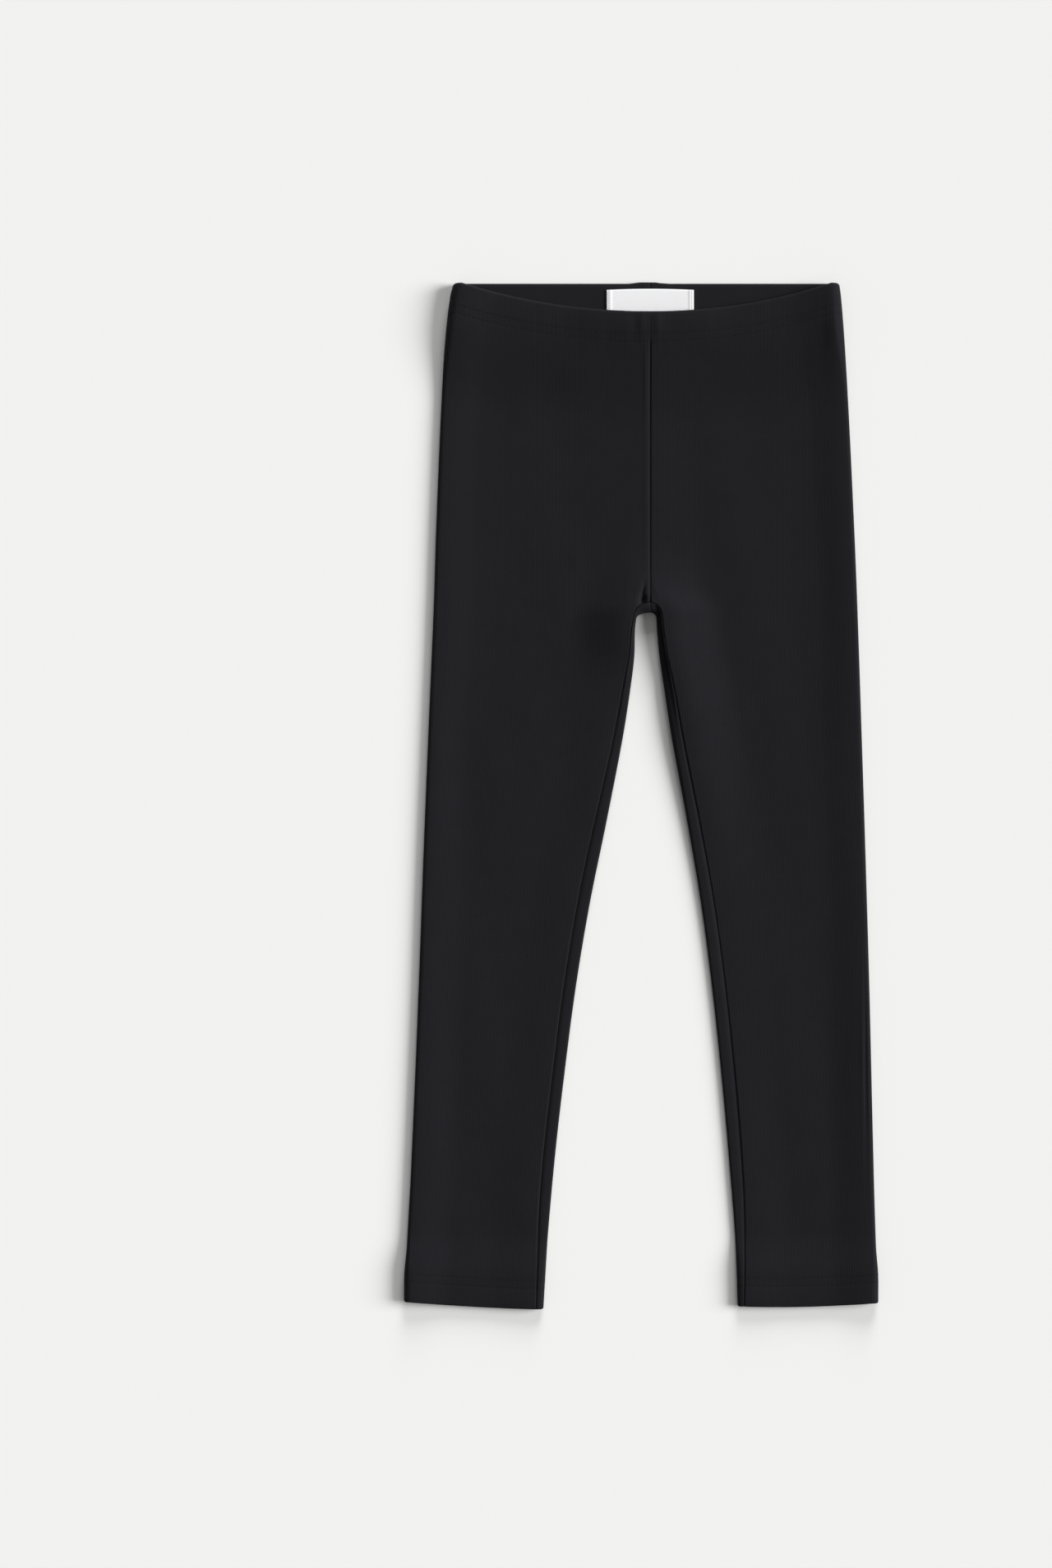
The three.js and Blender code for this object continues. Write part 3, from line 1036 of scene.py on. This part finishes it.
    def along_cloth(self, row: float, column: Column) -> float:
        """A column's distance round the cloth from the rib that leaves the outer fold at the hip.

        Above the crotch that rib runs straight up, and below it straight to the outer end of the hem.

        Args:
            row: Distance below the waist edge.
            column: The column.

        Returns:
            The distance in millimetres, above zero on the front.
        """
        plan = self.plan(row)
        zone, value = column.zone, column.value
        quarter = side_height(CROTCH.seam) * math.pi / 4
        hip, hem = self.plan(CROTCH.seam).side.x, self.plan(SIZES.length).side.x
        outside = mix(hip, hem, share_of(CROTCH.seam, SIZES.length, row)) - plan.side.x
        if zone is Zone.FRONT:
            span = (plan.side - plan.seam).length
            return quarter + outside + span - column.from_seam(span)
        if zone is Zone.SIDE:
            return outside + quarter * (2 * value / math.pi - 1)
        back = (plan.side - plan.back).length
        if zone is Zone.BACK:
            return outside * (1 - value) - quarter - back * value
        round_fold = plan.inner_roll * (value if zone is Zone.TURN else math.pi)
        strip = value * (plan.strip_end - plan.back).length if zone is Zone.STRIP else 0.0
        return -quarter - back - round_fold - strip


# The finishes.


class Nodes:
    """A material's node tree, with short ways to add and join nodes."""

    def __init__(self, name: str) -> None:
        """Makes the material.

        Args:
            name: The material's name.
        """
        self.material = bpy.data.materials.new(name)
        self.material.use_nodes = True
        self.tree = self.material.node_tree
        self.shader = self.tree.nodes["Principled BSDF"]

    def add(self, kind: str, **settings: object) -> bpy.types.Node:
        """Adds a node.

        Args:
            kind: The node's type.
            **settings: The node's own properties.

        Returns:
            The node.
        """
        node = self.tree.nodes.new(kind)
        for name, value in settings.items():
            setattr(node, name, value)
        return node

    def join(self, source: bpy.types.NodeSocket, target: bpy.types.NodeSocket) -> None:
        """Joins an output to an input."""
        self.tree.links.new(source, target)

    def maths(self, operation: str, *values: object) -> bpy.types.NodeSocket:
        """Adds a maths node.

        Args:
            operation: What it works out.
            *values: Its inputs, each a number or an output socket.

        Returns:
            The result's socket.
        """
        node = self.add("ShaderNodeMath", operation=operation)
        for socket, value in zip(node.inputs, values):
            if isinstance(value, bpy.types.NodeSocket):
                self.join(value, socket)
            else:
                socket.default_value = value
        return node.outputs[0]

    def noise(self, place: bpy.types.NodeSocket, scale: float, detail: float) -> bpy.types.NodeSocket:
        """Adds a noise.

        Args:
            place: The coordinates that it follows.
            scale: How fine it is.
            detail: How many finer copies it adds.

        Returns:
            The noise's value.
        """
        node = self.add("ShaderNodeTexNoise")
        node.inputs["Scale"].default_value = scale
        node.inputs["Detail"].default_value = detail
        self.join(place, node.inputs["Vector"])
        return node.outputs["Fac"]

    def cloth(self) -> tuple[bpy.types.NodeSocket, bpy.types.NodeSocket, bpy.types.NodeSocket]:
        """Adds the piece's own measure in millimetres.

        Returns:
            The place on the flat cloth, its part across and its part down.
        """
        place = self.add("ShaderNodeUVMap", uv_map="cloth_mm").outputs["UV"]
        parts = self.add("ShaderNodeSeparateXYZ")
        self.join(place, parts.inputs[0])
        return place, parts.outputs["X"], parts.outputs["Y"]

    def swell(self, turn: bpy.types.NodeSocket, kind: str = "COSINE") -> bpy.types.NodeSocket:
        """Adds a wave that swings between 0 and 1, once in every full turn."""
        return self.maths("MULTIPLY_ADD", self.maths(kind, turn), 0.5, 0.5)

    def bump(self, height: bpy.types.NodeSocket, distance: float) -> None:
        """Raises the surface by a height.

        Args:
            height: The height, 0 to 1.
            distance: What 1 stands for, in metres.
        """
        node = self.add("ShaderNodeBump")
        node.inputs["Distance"].default_value = distance
        node.inputs["Strength"].default_value = 1.0
        self.join(height, node.inputs["Height"])
        self.join(node.outputs["Normal"], self.shader.inputs["Normal"])

    def shade(self, dark: Sequence[float], light: Sequence[float], amount: bpy.types.NodeSocket) -> None:
        """Runs the base colour from one shade to another.

        Args:
            dark: The colour at 0.
            light: The colour at 1.
            amount: How far along.
        """
        node = self.add("ShaderNodeMix", data_type="RGBA")
        inputs = [socket for socket in node.inputs if socket.type == "RGBA"]
        inputs[0].default_value = (*dark, 1)
        inputs[1].default_value = (*light, 1)
        self.join(amount, node.inputs[0])
        output = next(socket for socket in node.outputs if socket.type == "RGBA")
        self.join(output, self.shader.inputs["Base Color"])

    def set(self, **values: float) -> None:
        """Sets the shader's own values, by their sockets' names with underscores for spaces."""
        for name, value in values.items():
            self.shader.inputs[name.replace("_", " ")].default_value = value


@dataclass(frozen=True)
class JerseyFinish:
    """Black jersey with fine ribs that run down the leg.

    Attributes:
        ridge: Colour on the ribs' tops, lighter as painted light; also the light end of the cloth's patches
            and fuzz.
        groove: Colour between the ribs, darker as painted shade; also the dark end of the patches and fuzz.
        rib_pitch: Distance from rib to rib, in millimetres.
        rib_height: Height of a rib, in millimetres.
        roundness: Power that rounds a rib's back, below 1.
        wander: How far a rib strays to the side, in millimetres.
        weakest: What share of that height a rib has where its noise is 0.
        uneven: How much larger that share is where the noise is 1.
        loop_pitch: Length of one knitted loop, in millimetres.
        loop_slant: How far a loop leans from rib to groove, as an angle in radians.
        loop_height: A loop's height, as a share of a rib's.
        fuzz_height: The fuzz's height, as a share of a rib's.
        rib_painted_shade: How much of the colour's range the ribs' painted shade and light take up.
        patch_tone: How much the cloth's faint patches take up.
        fuzz_tone: How much the fuzz takes up.
        roughness: How matt the yarn is.
        specular: How much it shines.
        sheen: How much light its fuzz catches.
        sheen_roughness: How widely the fuzz spreads that light.
    """

    ridge: tuple[float, float, float] = (0.0125, 0.0120, 0.0150)
    groove: tuple[float, float, float] = (0.0085, 0.0081, 0.0100)
    rib_pitch: float = 1.4
    rib_height: float = 0.05
    roundness: float = 0.7
    wander: float = 0.3
    weakest: float = -0.1
    uneven: float = 2.2
    loop_pitch: float = 0.9
    loop_slant: float = 1.5
    loop_height: float = 0.22
    fuzz_height: float = 2.4
    rib_painted_shade: float = 0.28
    patch_tone: float = 0.5
    fuzz_tone: float = 0.5
    roughness: float = 0.85
    specular: float = 0.08
    sheen: float = 0.02
    sheen_roughness: float = 0.5

    def material(self) -> bpy.types.Material:
        """Makes the material, on the cloth's own measure in millimetres.

        Returns:
            The material.
        """
        nodes = Nodes("black_ribbed_jersey")
        cloth, across, down = nodes.cloth()
        strayed = nodes.maths("MULTIPLY_ADD", nodes.noise(cloth, scale=0.05, detail=2), self.wander, across)
        turn = nodes.maths("MULTIPLY", strayed, math.tau / self.rib_pitch)
        rib = nodes.maths("POWER", nodes.swell(turn), self.roundness)
        strength = nodes.noise(cloth, scale=0.09, detail=2)
        strength = nodes.maths("MULTIPLY_ADD", strength, self.uneven, self.weakest)
        rib = nodes.maths("MULTIPLY", rib, strength)
        slant = nodes.maths("MULTIPLY", nodes.maths("COSINE", turn), self.loop_slant)
        loops = nodes.maths("MULTIPLY_ADD", down, math.tau / self.loop_pitch, slant)
        fuzz = nodes.noise(cloth, scale=2.4, detail=4)
        height = nodes.maths("MULTIPLY_ADD", nodes.swell(loops, "SINE"), self.loop_height, rib)
        height = nodes.maths("MULTIPLY_ADD", fuzz, self.fuzz_height, height)
        nodes.bump(height, self.rib_height * MM)
        patch = nodes.noise(cloth, scale=0.05, detail=3)
        # Painted shade: the base colour is darker in the grooves between the ribs and lighter on their
        # tops; the patches and the fuzz vary it at random.
        tone = nodes.maths("MULTIPLY", rib, self.rib_painted_shade)
        tone = nodes.maths("MULTIPLY_ADD", patch, self.patch_tone, tone)
        tone = nodes.maths("MULTIPLY_ADD", fuzz, self.fuzz_tone, tone)
        nodes.shade(self.groove, self.ridge, tone)
        nodes.set(Roughness=self.roughness, Specular_IOR_Level=self.specular)
        nodes.set(Sheen_Weight=self.sheen, Sheen_Roughness=self.sheen_roughness)
        return nodes.material


@dataclass(frozen=True)
class SatinFinish:
    """White satin ribbon, woven with fine threads that run across.

    Attributes:
        light: Colour on the threads, lighter as painted light; also the light end of the unevenness.
        dark: Colour between the threads, darker as painted shade; also the dark end of the unevenness.
        thread_pitch: Distance from thread to thread, in millimetres.
        thread_height: Height of a thread, in millimetres.
        fuzz_height: The unevenness's height, as a share of a thread's.
        thread_painted_shade: How much of the colour's range the painted shade between the threads takes up.
        fuzz_tone: How much the unevenness takes up.
        roughness: How matt the ribbon is.
        specular: How much it shines.
    """

    light: tuple[float, float, float] = (0.88, 0.88, 0.89)
    dark: tuple[float, float, float] = (0.79, 0.79, 0.80)
    thread_pitch: float = 0.35
    thread_height: float = 0.04
    fuzz_height: float = 0.5
    thread_painted_shade: float = 0.4
    fuzz_tone: float = 1.1
    roughness: float = 0.5
    specular: float = 0.3

    def material(self) -> bpy.types.Material:
        """Makes the material, on the ribbon's own measure in millimetres.

        Returns:
            The material.
        """
        nodes = Nodes("white_satin_ribbon")
        ribbon, _, down = nodes.cloth()
        thread = nodes.swell(nodes.maths("MULTIPLY", down, math.tau / self.thread_pitch))
        fuzz = nodes.noise(ribbon, scale=1.5, detail=3)
        height = nodes.maths("MULTIPLY_ADD", fuzz, self.fuzz_height, thread)
        nodes.bump(height, self.thread_height * MM)
        tone = nodes.maths("MULTIPLY", fuzz, self.fuzz_tone)
        # Painted shade: the base colour is darker between the threads and lighter on them; the unevenness
        # varies it at random.
        nodes.shade(self.dark, self.light, nodes.maths("MULTIPLY_ADD", thread, self.thread_painted_shade, tone))
        nodes.set(Roughness=self.roughness, Specular_IOR_Level=self.specular)
        return nodes.material


@dataclass(frozen=True)
class PlainFinish:
    """One even colour.

    Attributes:
        name: The material's name.
        colour: Its colour.
        roughness: How matt it is.
        specular: How much it shines.
    """

    name: str
    colour: tuple[float, float, float]
    roughness: float
    specular: float = 0.2

    def material(self) -> bpy.types.Material:
        """Makes the material.

        Returns:
            The material.
        """
        nodes = Nodes(self.name)
        nodes.shader.inputs["Base Color"].default_value = (*self.colour, 1)
        nodes.set(Roughness=self.roughness, Specular_IOR_Level=self.specular)
        return nodes.material


BLACK_THREAD = PlainFinish("black_sewing_thread", (0.0075, 0.0075, 0.0085), 0.8, 0.1)
GREY_THREAD = PlainFinish("grey_sewing_thread", (0.30, 0.30, 0.32), 0.6, 0.2)
ELASTIC = PlainFinish("black_elastic", (0.012, 0.012, 0.013), 0.8)
SURFACE = PlainFinish("pale_surface", (0.88, 0.88, 0.868), 1.0, 0.0)


# The pieces.


@dataclass
class Wall:
    """A closed wall of cloth between two grids of points.

    Attributes:
        name: The piece's name.
        outer: The points of the outer face, in millimetres.
        inner: The points of the inner face.
        measures: Each point's place on the flat cloth, in millimetres.
        mirrored: Whether the grid runs the other way round.
    """

    name: str
    outer: Grid
    inner: Grid
    measures: list[list[tuple[float, float]]]
    mirrored: bool

    def build(self, origin: Vector, material: bpy.types.Material) -> bpy.types.Object:
        """Makes the mesh.

        Args:
            origin: Where the grids' own origin lies, in metres.
            material: The wall's material.

        Returns:
            The object.
        """
        points: list[Vector] = []
        flat: list[tuple[float, float]] = []

        def store(grid: Grid) -> list[list[int | None]]:
            ids: list[list[int | None]] = []
            for line, places in zip(grid, self.measures):
                ids.append([])
                for point, place in zip(line, places):
                    ids[-1].append(None if point is None else len(points))
                    if point is not None:
                        points.append(origin + Vector(point) * MM)
                        flat.append(place)
            return ids

        skin, lining = store(self.outer), store(self.inner)
        faces: list[tuple[int, ...]] = []
        rims: dict[tuple[int, int], tuple[int, int]] = {}
        for r in range(len(skin) - 1):
            for c in range(len(skin[r]) - 1):
                spots = ((r, c), (r, c + 1), (r + 1, c + 1), (r + 1, c))
                outer = [skin[i][j] for i, j in spots]
                if None in outer:
                    continue
                inner = [lining[i][j] for i, j in spots]
                faces += [tuple(outer), tuple(reversed(inner))]
                for i in range(4):
                    j = (i + 1) % 4
                    if rims.pop((outer[j], outer[i]), None) is None:
                        rims[outer[i], outer[j]] = (inner[i], inner[j])
        faces += [(b, a, c, d) for (a, b), (c, d) in rims.items()]
        if self.mirrored:
            faces = [tuple(reversed(f)) for f in faces]
        mesh = bpy.data.meshes.new(self.name)
        mesh.from_pydata(points, [], faces)
        layer = mesh.uv_layers.new(name="cloth_mm")
        for loop in mesh.loops:
            layer.data[loop.index].uv = flat[loop.vertex_index]
        mesh.polygons.foreach_set("use_smooth", [True] * len(mesh.polygons))
        mesh.materials.append(material)
        mesh.validate()
        return add_object(self.name, mesh)


@dataclass
class LegPanel:
    """One leg of the leggings, cut in one piece from centre front to centre back.

    Attributes:
        form: The leg's form.
        origin: Where the back waist edge meets the centre back seam, in metres.
        material: The jersey.
    """

    form: LegForm
    origin: Vector
    material: bpy.types.Material

    def build(self) -> bpy.types.Object:
        """Makes the panel.

        Returns:
            The object.
        """
        outer: Grid = []
        inner: Grid = []
        measures = []
        for faces in LAYOUT.rows:
            outer.append([])
            inner.append([])
            measures.append([])
            row = faces.outer.row
            for column in (*LAYOUT.ring, *LAYOUT.inseam):
                missing = column.below_crotch and row < CROTCH.seam
                for grid, face in zip((outer, inner), faces):
                    grid[-1].append(None if missing else self.form.place(face.row, column, face.depth))
                measures[-1].append((0.0, 0.0) if missing else (self.form.along_cloth(row, column), row))
        name = f"{self.form.side.value}_leg_panel"
        wall = Wall(name, outer, inner, measures, mirrored=self.form.side is Side.LEFT)
        made = wall.build(self.origin, self.material)
        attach(made, "root")
        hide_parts(self.form.side.node)
        return made


@dataclass
class BackLabel:
    """The plain white label, its ends folded under.

    Attributes:
        origin: Where the back waist edge meets the centre back seam, in metres.
        material: The satin.
        ends: The columns near an end, by their distance from it, in millimetres.
        columns: How many steps across between them.
        rows: How many steps down.
    """

    origin: Vector
    material: bpy.types.Material
    ends: tuple[float, ...] = (0, 0.3, 0.7, 1.2, 1.7, 2.1, 2.5, 3.0, 3.4, 3.8, 4.3, 4.9)
    columns: int = 60
    rows: int = 18

    def top_height(self, x: float, down: float) -> float:
        """Height of the label's upper face.

        Args:
            x: Distance across from the centre seams.
            down: Share of the way down the label.

        Returns:
            The height in millimetres.
        """
        from_end = LABEL.half_width - abs(x)
        folded = 1 - LABEL.fold_ends.at(from_end)
        stitched = LABEL.stitch_dent * bell(from_end - LABEL.end_stitch, LABEL.stitch_reach)
        rounded = LABEL.edge_round * (1 - LABEL.edge_reach.at(from_end))
        bowed = LABEL.bow * math.sin(math.pi * down) * (1 - folded)
        return LABEL.rest + mix(LABEL.thin, LABEL.thick, folded) + bowed - stitched - rounded

    def build(self) -> bpy.types.Object:
        """Makes the label.

        Returns:
            The object.
        """
        half = [LABEL.half_width - v for v in self.ends]
        inner = [mix(half[-1], -half[-1], i / self.columns) for i in range(1, self.columns)]
        across = [-v for v in half] + list(reversed(inner)) + list(reversed(half))
        outer: Grid = []
        under: Grid = []
        measures = []
        for i in range(self.rows + 1):
            share = i / self.rows
            outer.append([])
            under.append([])
            measures.append([])
            for x in across:
                down = LABEL.down(x, share)
                outer[-1].append((x, -down, self.top_height(x, share)))
                under[-1].append((x, -down, LABEL.rest))
                measures[-1].append((x, down))
        wall = Wall("woven_back_label", outer, under, measures, mirrored=True)
        made = wall.build(self.origin, self.material)
        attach(made, "root")
        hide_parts("back_label")
        return made


@dataclass
class Stitcher:
    """Sews rows of stitches along paths on the cloth.

    Attributes:
        material: The thread.
        pitch: Distance from stitch to stitch, in metres.
        length: Length of a stitch.
        width: Width of the thread.
        lift: Height of the thread.
        wobble: How far a stitch may turn to either side, in radians.
        seed: The seed of that turn.
    """

    material: bpy.types.Material
    pitch: float = 3.0 * MM
    length: float = 2.4 * MM
    width: float = 0.35 * MM
    lift: float = 0.18 * MM
    wobble: float = 0.07
    seed: int = 5

    def tree(self) -> bpy.types.GeometryNodeTree:
        """Builds the tree that lays a stitch at every step of a path.

        Returns:
            The tree.
        """
        tree = bpy.data.node_groups.new("row_of_stitches", "GeometryNodeTree")
        interface = tree.interface
        interface.new_socket("Path", in_out="INPUT", socket_type="NodeSocketGeometry")
        for name in ("Pitch", "Length", "Width", "Lift"):
            interface.new_socket(name, in_out="INPUT", socket_type="NodeSocketFloat")
        interface.new_socket("Thread", in_out="INPUT", socket_type="NodeSocketMaterial")
        interface.new_socket("Stitches", in_out="OUTPUT", socket_type="NodeSocketGeometry")
        add, join = tree.nodes.new, tree.links.new
        given, result = add("NodeGroupInput"), add("NodeGroupOutput")
        curve = add("GeometryNodeMeshToCurve")
        join(given.outputs["Path"], curve.inputs["Mesh"])
        points = add("GeometryNodeCurveToPoints")
        points.mode = "LENGTH"
        join(curve.outputs["Curve"], points.inputs["Curve"])
        join(given.outputs["Pitch"], points.inputs["Length"])
        thread = add("GeometryNodeMeshIcoSphere")
        thread.inputs["Radius"].default_value = 0.5
        thread.inputs["Subdivisions"].default_value = 2
        size = add("ShaderNodeCombineXYZ")
        for name, socket in zip(("Length", "Width", "Lift"), size.inputs):
            join(given.outputs[name], socket)
        turn = add("FunctionNodeAlignRotationToVector")
        turn.axis = "X"
        join(points.outputs["Tangent"], turn.inputs["Vector"])
        wobble = add("FunctionNodeRandomValue")
        wobble.data_type = "FLOAT_VECTOR"
        wobble.inputs["Min"].default_value = (0, 0, -self.wobble)
        wobble.inputs["Max"].default_value = (0, 0, self.wobble)
        wobble.inputs["Seed"].default_value = self.seed
        rotate = add("FunctionNodeRotateRotation")
        rotate.rotation_space = "LOCAL"
        join(turn.outputs["Rotation"], rotate.inputs["Rotation"])
        join(wobble.outputs["Value"], rotate.inputs["Rotate By"])
        laid = add("GeometryNodeInstanceOnPoints")
        join(points.outputs["Points"], laid.inputs["Points"])
        join(thread.outputs["Mesh"], laid.inputs["Instance"])
        join(rotate.outputs["Rotation"], laid.inputs["Rotation"])
        join(size.outputs[0], laid.inputs["Scale"])
        real = add("GeometryNodeRealizeInstances")
        join(laid.outputs["Instances"], real.inputs["Geometry"])
        coloured = add("GeometryNodeSetMaterial")
        join(real.outputs["Geometry"], coloured.inputs["Geometry"])
        join(given.outputs["Thread"], coloured.inputs["Material"])
        join(coloured.outputs["Geometry"], result.inputs["Stitches"])
        return tree

    def sew(self, name: str, slot: str, paths: Sequence[list[Point]], origin: Vector) -> bpy.types.Object:
        """Sews stitches along some paths.

        Args:
            name: The piece's name.
            slot: A material slot's name; not used.
            paths: The paths, in millimetres.
            origin: Where their own origin lies, in metres.

        Returns:
            The object, a plain mesh.
        """
        points = [origin + Vector(p) * MM for path in paths for p in path]
        edges, start = [], 0
        for path in paths:
            edges += [(start + i, start + i + 1) for i in range(len(path) - 1)]
            start += len(path)
        guide = bpy.data.meshes.new(f"{name}_path")
        guide.from_pydata(points, edges, [])
        sewn = add_object(f"{name}_path", guide)
        modifier = sewn.modifiers.new("stitches", "NODES")
        modifier.node_group = self.tree()
        given = {
            "Pitch": self.pitch,
            "Length": self.length,
            "Width": self.width,
            "Lift": self.lift,
            "Thread": self.material,
        }
        for item in modifier.node_group.interface.items_tree:
            if item.item_type == "SOCKET" and item.in_out == "INPUT" and item.name in given:
                modifier[item.identifier] = given[item.name]
        sewn.update_tag()
        shown = sewn.evaluated_get(bpy.context.evaluated_depsgraph_get())
        mesh = bpy.data.meshes.new_from_object(shown)
        mesh.name = name
        mesh.polygons.foreach_set("use_smooth", [True] * len(mesh.polygons))
        sewn.modifiers.remove(modifier)
        bpy.data.objects.remove(sewn)
        made = add_object(name, mesh)
        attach(made, "root")
        return made


@dataclass
class Sewing:
    """All the sewing that shows on the leggings.

    Attributes:
        forms: The two legs' forms.
        origin: Where the back waist edge meets the centre back seam, in metres.
        black: Sews in black thread.
        grey: Sews in grey thread.
        above: How far a thread's middle lies above the cloth, in millimetres.
        above_label: The same above the label.
        label_ends: The shares of the way down the label where its stitches start and end.
        label_steps: In how many steps their path follows it.
    """

    forms: Sequence[LegForm]
    origin: Vector
    black: Stitcher
    grey: Stitcher
    above: float = 0.02
    above_label: float = 0.04
    label_ends: tuple[float, float] = (0.04, 0.96)
    label_steps: int = 24

    def round_leg(self, form: LegForm, row: float) -> list[Point]:
        """A path round a leg panel at one row, just above its outer skin."""
        columns = LAYOUT.ring if row < CROTCH.seam else [*LAYOUT.ring, *LAYOUT.inseam]
        return [form.place(row, column, -self.above) for column in columns]

    def casing(self) -> bpy.types.Object:
        """Sews the waist casing down.

        Returns:
            The object.
        """
        rows = [row for row in SIZES.stitch_rows if row < SIZES.casing]
        paths = [self.round_leg(form, row) for form in self.forms for row in rows]
        return self.black.sew("casing_coverstitch", "jersey", paths, self.origin)

    def hem(self, form: LegForm) -> bpy.types.Object:
        """Sews one hem up.

        Args:
            form: The leg.

        Returns:
            The object.
        """
        rows = [row for row in SIZES.stitch_rows if row > SIZES.casing]
        paths = [self.round_leg(form, row) for row in rows]
        return self.black.sew(f"{form.side.value}_hem_coverstitch", "jersey", paths, self.origin)

    def label(self, label: BackLabel) -> bpy.types.Object:
        """Sews the label on at its two ends.

        Args:
            label: The label.

        Returns:
            The object.
        """
        paths = []
        for sign in (-1, 1):
            x = sign * (LABEL.half_width - LABEL.end_stitch)
            path = []
            for i in range(self.label_steps + 1):
                share = mix(*self.label_ends, i / self.label_steps)
                path.append((x, -LABEL.down(x, share), label.top_height(x, share) + self.above_label))
            paths.append(path)
        return self.grey.sew("label_stitches", "satin", paths, self.origin)


# The setting.


class Lamp(NamedTuple):
    """One of the soft lights.

    Attributes:
        name: Its name.
        light: How much light it lays on the surface, in watts a square metre.
        way: Where it comes from, in degrees from +X towards +Y.
        height: How high it stands, in degrees.
        size: How wide it looks, in degrees.
    """

    name: str
    light: float
    way: float
    height: float
    size: float


@dataclass(frozen=True)
class Setting:
    """The surface, the light and the camera.

    Attributes:
        millimetres_a_pixel: The photograph's scale.
        picture: Its width and height in pixels.
        seam_pixel: Where the centre front seam stands across the picture.
        waist_pixel: Where the back waist edge stands down the picture.
        lens: Focal length, in millimetres.
        sensor: Length of the sensor, in millimetres.
        reach: The nearest and the farthest thing that the camera sees, in metres.
        focus: Height of the cloth at which the scale holds, in metres.
        surface: Half the width of the surface, in metres.
        sky: Brightness of the even light from all round.
        lamps: The soft lights.
    """

    millimetres_a_pixel: float = 0.5
    picture: tuple[int, int] = (1280, 1908)
    seam_pixel: float = 791.0
    waist_pixel: float = 345.0
    lens: float = 105.0
    sensor: float = 36.0
    reach: tuple[float, float] = (0.1, 20.0)
    focus: float = 3 * MM
    surface: float = 4.0
    sky: float = 0.19
    lamps: tuple[Lamp, ...] = (
        Lamp("key_from_the_right", light=1.86, way=6, height=27, size=31),
        Lamp("fill_from_the_top", light=0.71, way=82, height=19, size=26),
    )

    def lay_surface(self, centre: Vector) -> bpy.types.Object:
        """Lays the pale surface under the leggings.

        Args:
            centre: Its middle.

        Returns:
            The object.
        """
        half = self.surface
        mesh = bpy.data.meshes.new("pale_surface")
        corners = [(-half, -half, 0), (half, -half, 0), (half, half, 0), (-half, half, 0)]
        mesh.from_pydata([centre + Vector(c) for c in corners], [], [(0, 1, 2, 3)])
        mesh.materials.append(SURFACE.material())
        made = add_object("pale_surface", mesh)
        return made

    def light(self) -> None:
        """Sets the lights."""
        world = bpy.context.scene.world or bpy.data.worlds.new("studio")
        bpy.context.scene.world = world
        world.use_nodes = True
        background = world.node_tree.nodes["Background"]
        background.inputs["Color"].default_value = (1, 1, 1, 1)
        background.inputs["Strength"].default_value = self.sky
        for lamp in self.lamps:
            height, way = math.radians(lamp.height), math.radians(lamp.way)
            data = bpy.data.lights.new(lamp.name, "SUN")
            data.energy = lamp.light / math.sin(height)
            data.angle = math.radians(lamp.size)
            made = add_object(lamp.name, data)
            flat = math.cos(height)
            towards = Vector((flat * math.cos(way), flat * math.sin(way), math.sin(height)))
            made.rotation_euler = towards.to_track_quat("Z", "Y").to_euler()

    def aim(self, origin: Vector) -> bpy.types.Object:
        """Sets the camera straight above, so that the leggings stand where the photograph has them.

        Args:
            origin: Where the back waist edge meets the centre back seam.

        Returns:
            The camera.
        """
        scale = self.millimetres_a_pixel * MM
        width, height = self.picture
        data = bpy.data.cameras.new("camera")
        data.lens, data.sensor_width = self.lens, self.sensor
        data.clip_start, data.clip_end = self.reach
        distance = height * scale * self.lens / self.sensor
        across = (width / 2 - self.seam_pixel) * scale
        down = (height / 2 - self.waist_pixel) * scale
        camera = add_object("camera", data)
        camera.location = (origin.x + across, origin.y - down, distance + self.focus)
        bpy.context.scene.camera = camera
        bpy.context.scene.view_settings.view_transform = "Standard"
        return camera


class Leggings:
    """The whole pair: two leg panels, the elastic, the label and the sewing."""

    FLAT_PANEL = (0.262, 0.664)

    def __init__(self) -> None:
        """Finds the pair's own origin and makes the finishes."""
        left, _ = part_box("left_leg")
        _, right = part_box("right_leg")
        _, high = SOLID_BOUNDS
        self.origin = Vector(((left[0] + right[0]) / 2, high[1], 0.0))
        self.forms = [LegForm(Side.LEFT), LegForm(Side.RIGHT)]
        self.jersey = JerseyFinish().material()
        self.satin = SatinFinish().material()

    def build(self) -> None:
        """Makes every piece, one after the other."""
        panels = []
        for form in self.forms:
            panels.append(LegPanel(form, self.origin, self.jersey).build())
            self.note(panels[-1])
        label = BackLabel(self.origin, self.satin)
        self.note(label.build())
        black = Stitcher(BLACK_THREAD.material())
        grey = Stitcher(
            GREY_THREAD.material(),
            pitch=1.5 * MM,
            length=1.1 * MM,
            width=0.22 * MM,
            lift=0.14 * MM,
        )
        sewing = Sewing(self.forms, self.origin, black, grey)
        casing = sewing.casing()
        self.note(casing)
        hems = [sewing.hem(form) for form in self.forms]
        for hem in hems:
            self.note(hem)
        self.note(sewing.label(label))
        for form, panel, hem in zip(self.forms, panels, hems):
            self.declare(panel)
        elastic = bpy.data.objects["waist_elastic"]
        elastic.data.materials.clear()
        elastic.data.materials.append(ELASTIC.material())

    def declare(self, panel: bpy.types.Object) -> None:
        """Works out half the area of a leg panel's faces, and does nothing with it.

        Args:
            panel: The panel.
        """
        mesh = bmesh.new()
        mesh.from_mesh(panel.data)
        area = sum(face.calc_area() for face in mesh.faces) / 2
        mesh.free()

    @staticmethod
    def note(made: bpy.types.Object) -> None:
        """Logs a piece."""
        log.info("%s: %d faces", made.name, len(made.data.polygons))


def main() -> None:
    """Dresses the leggings, then sets the surface, the light and the camera."""
    logging.basicConfig(level=logging.INFO, format="%(message)s")
    setting = Setting()
    leggings = Leggings()
    setting.lay_surface(Vector((leggings.origin.x, 0, 0)))
    leggings.build()
    setting.light()
    setting.aim(leggings.origin)


if __name__ == "__main__":
    main()
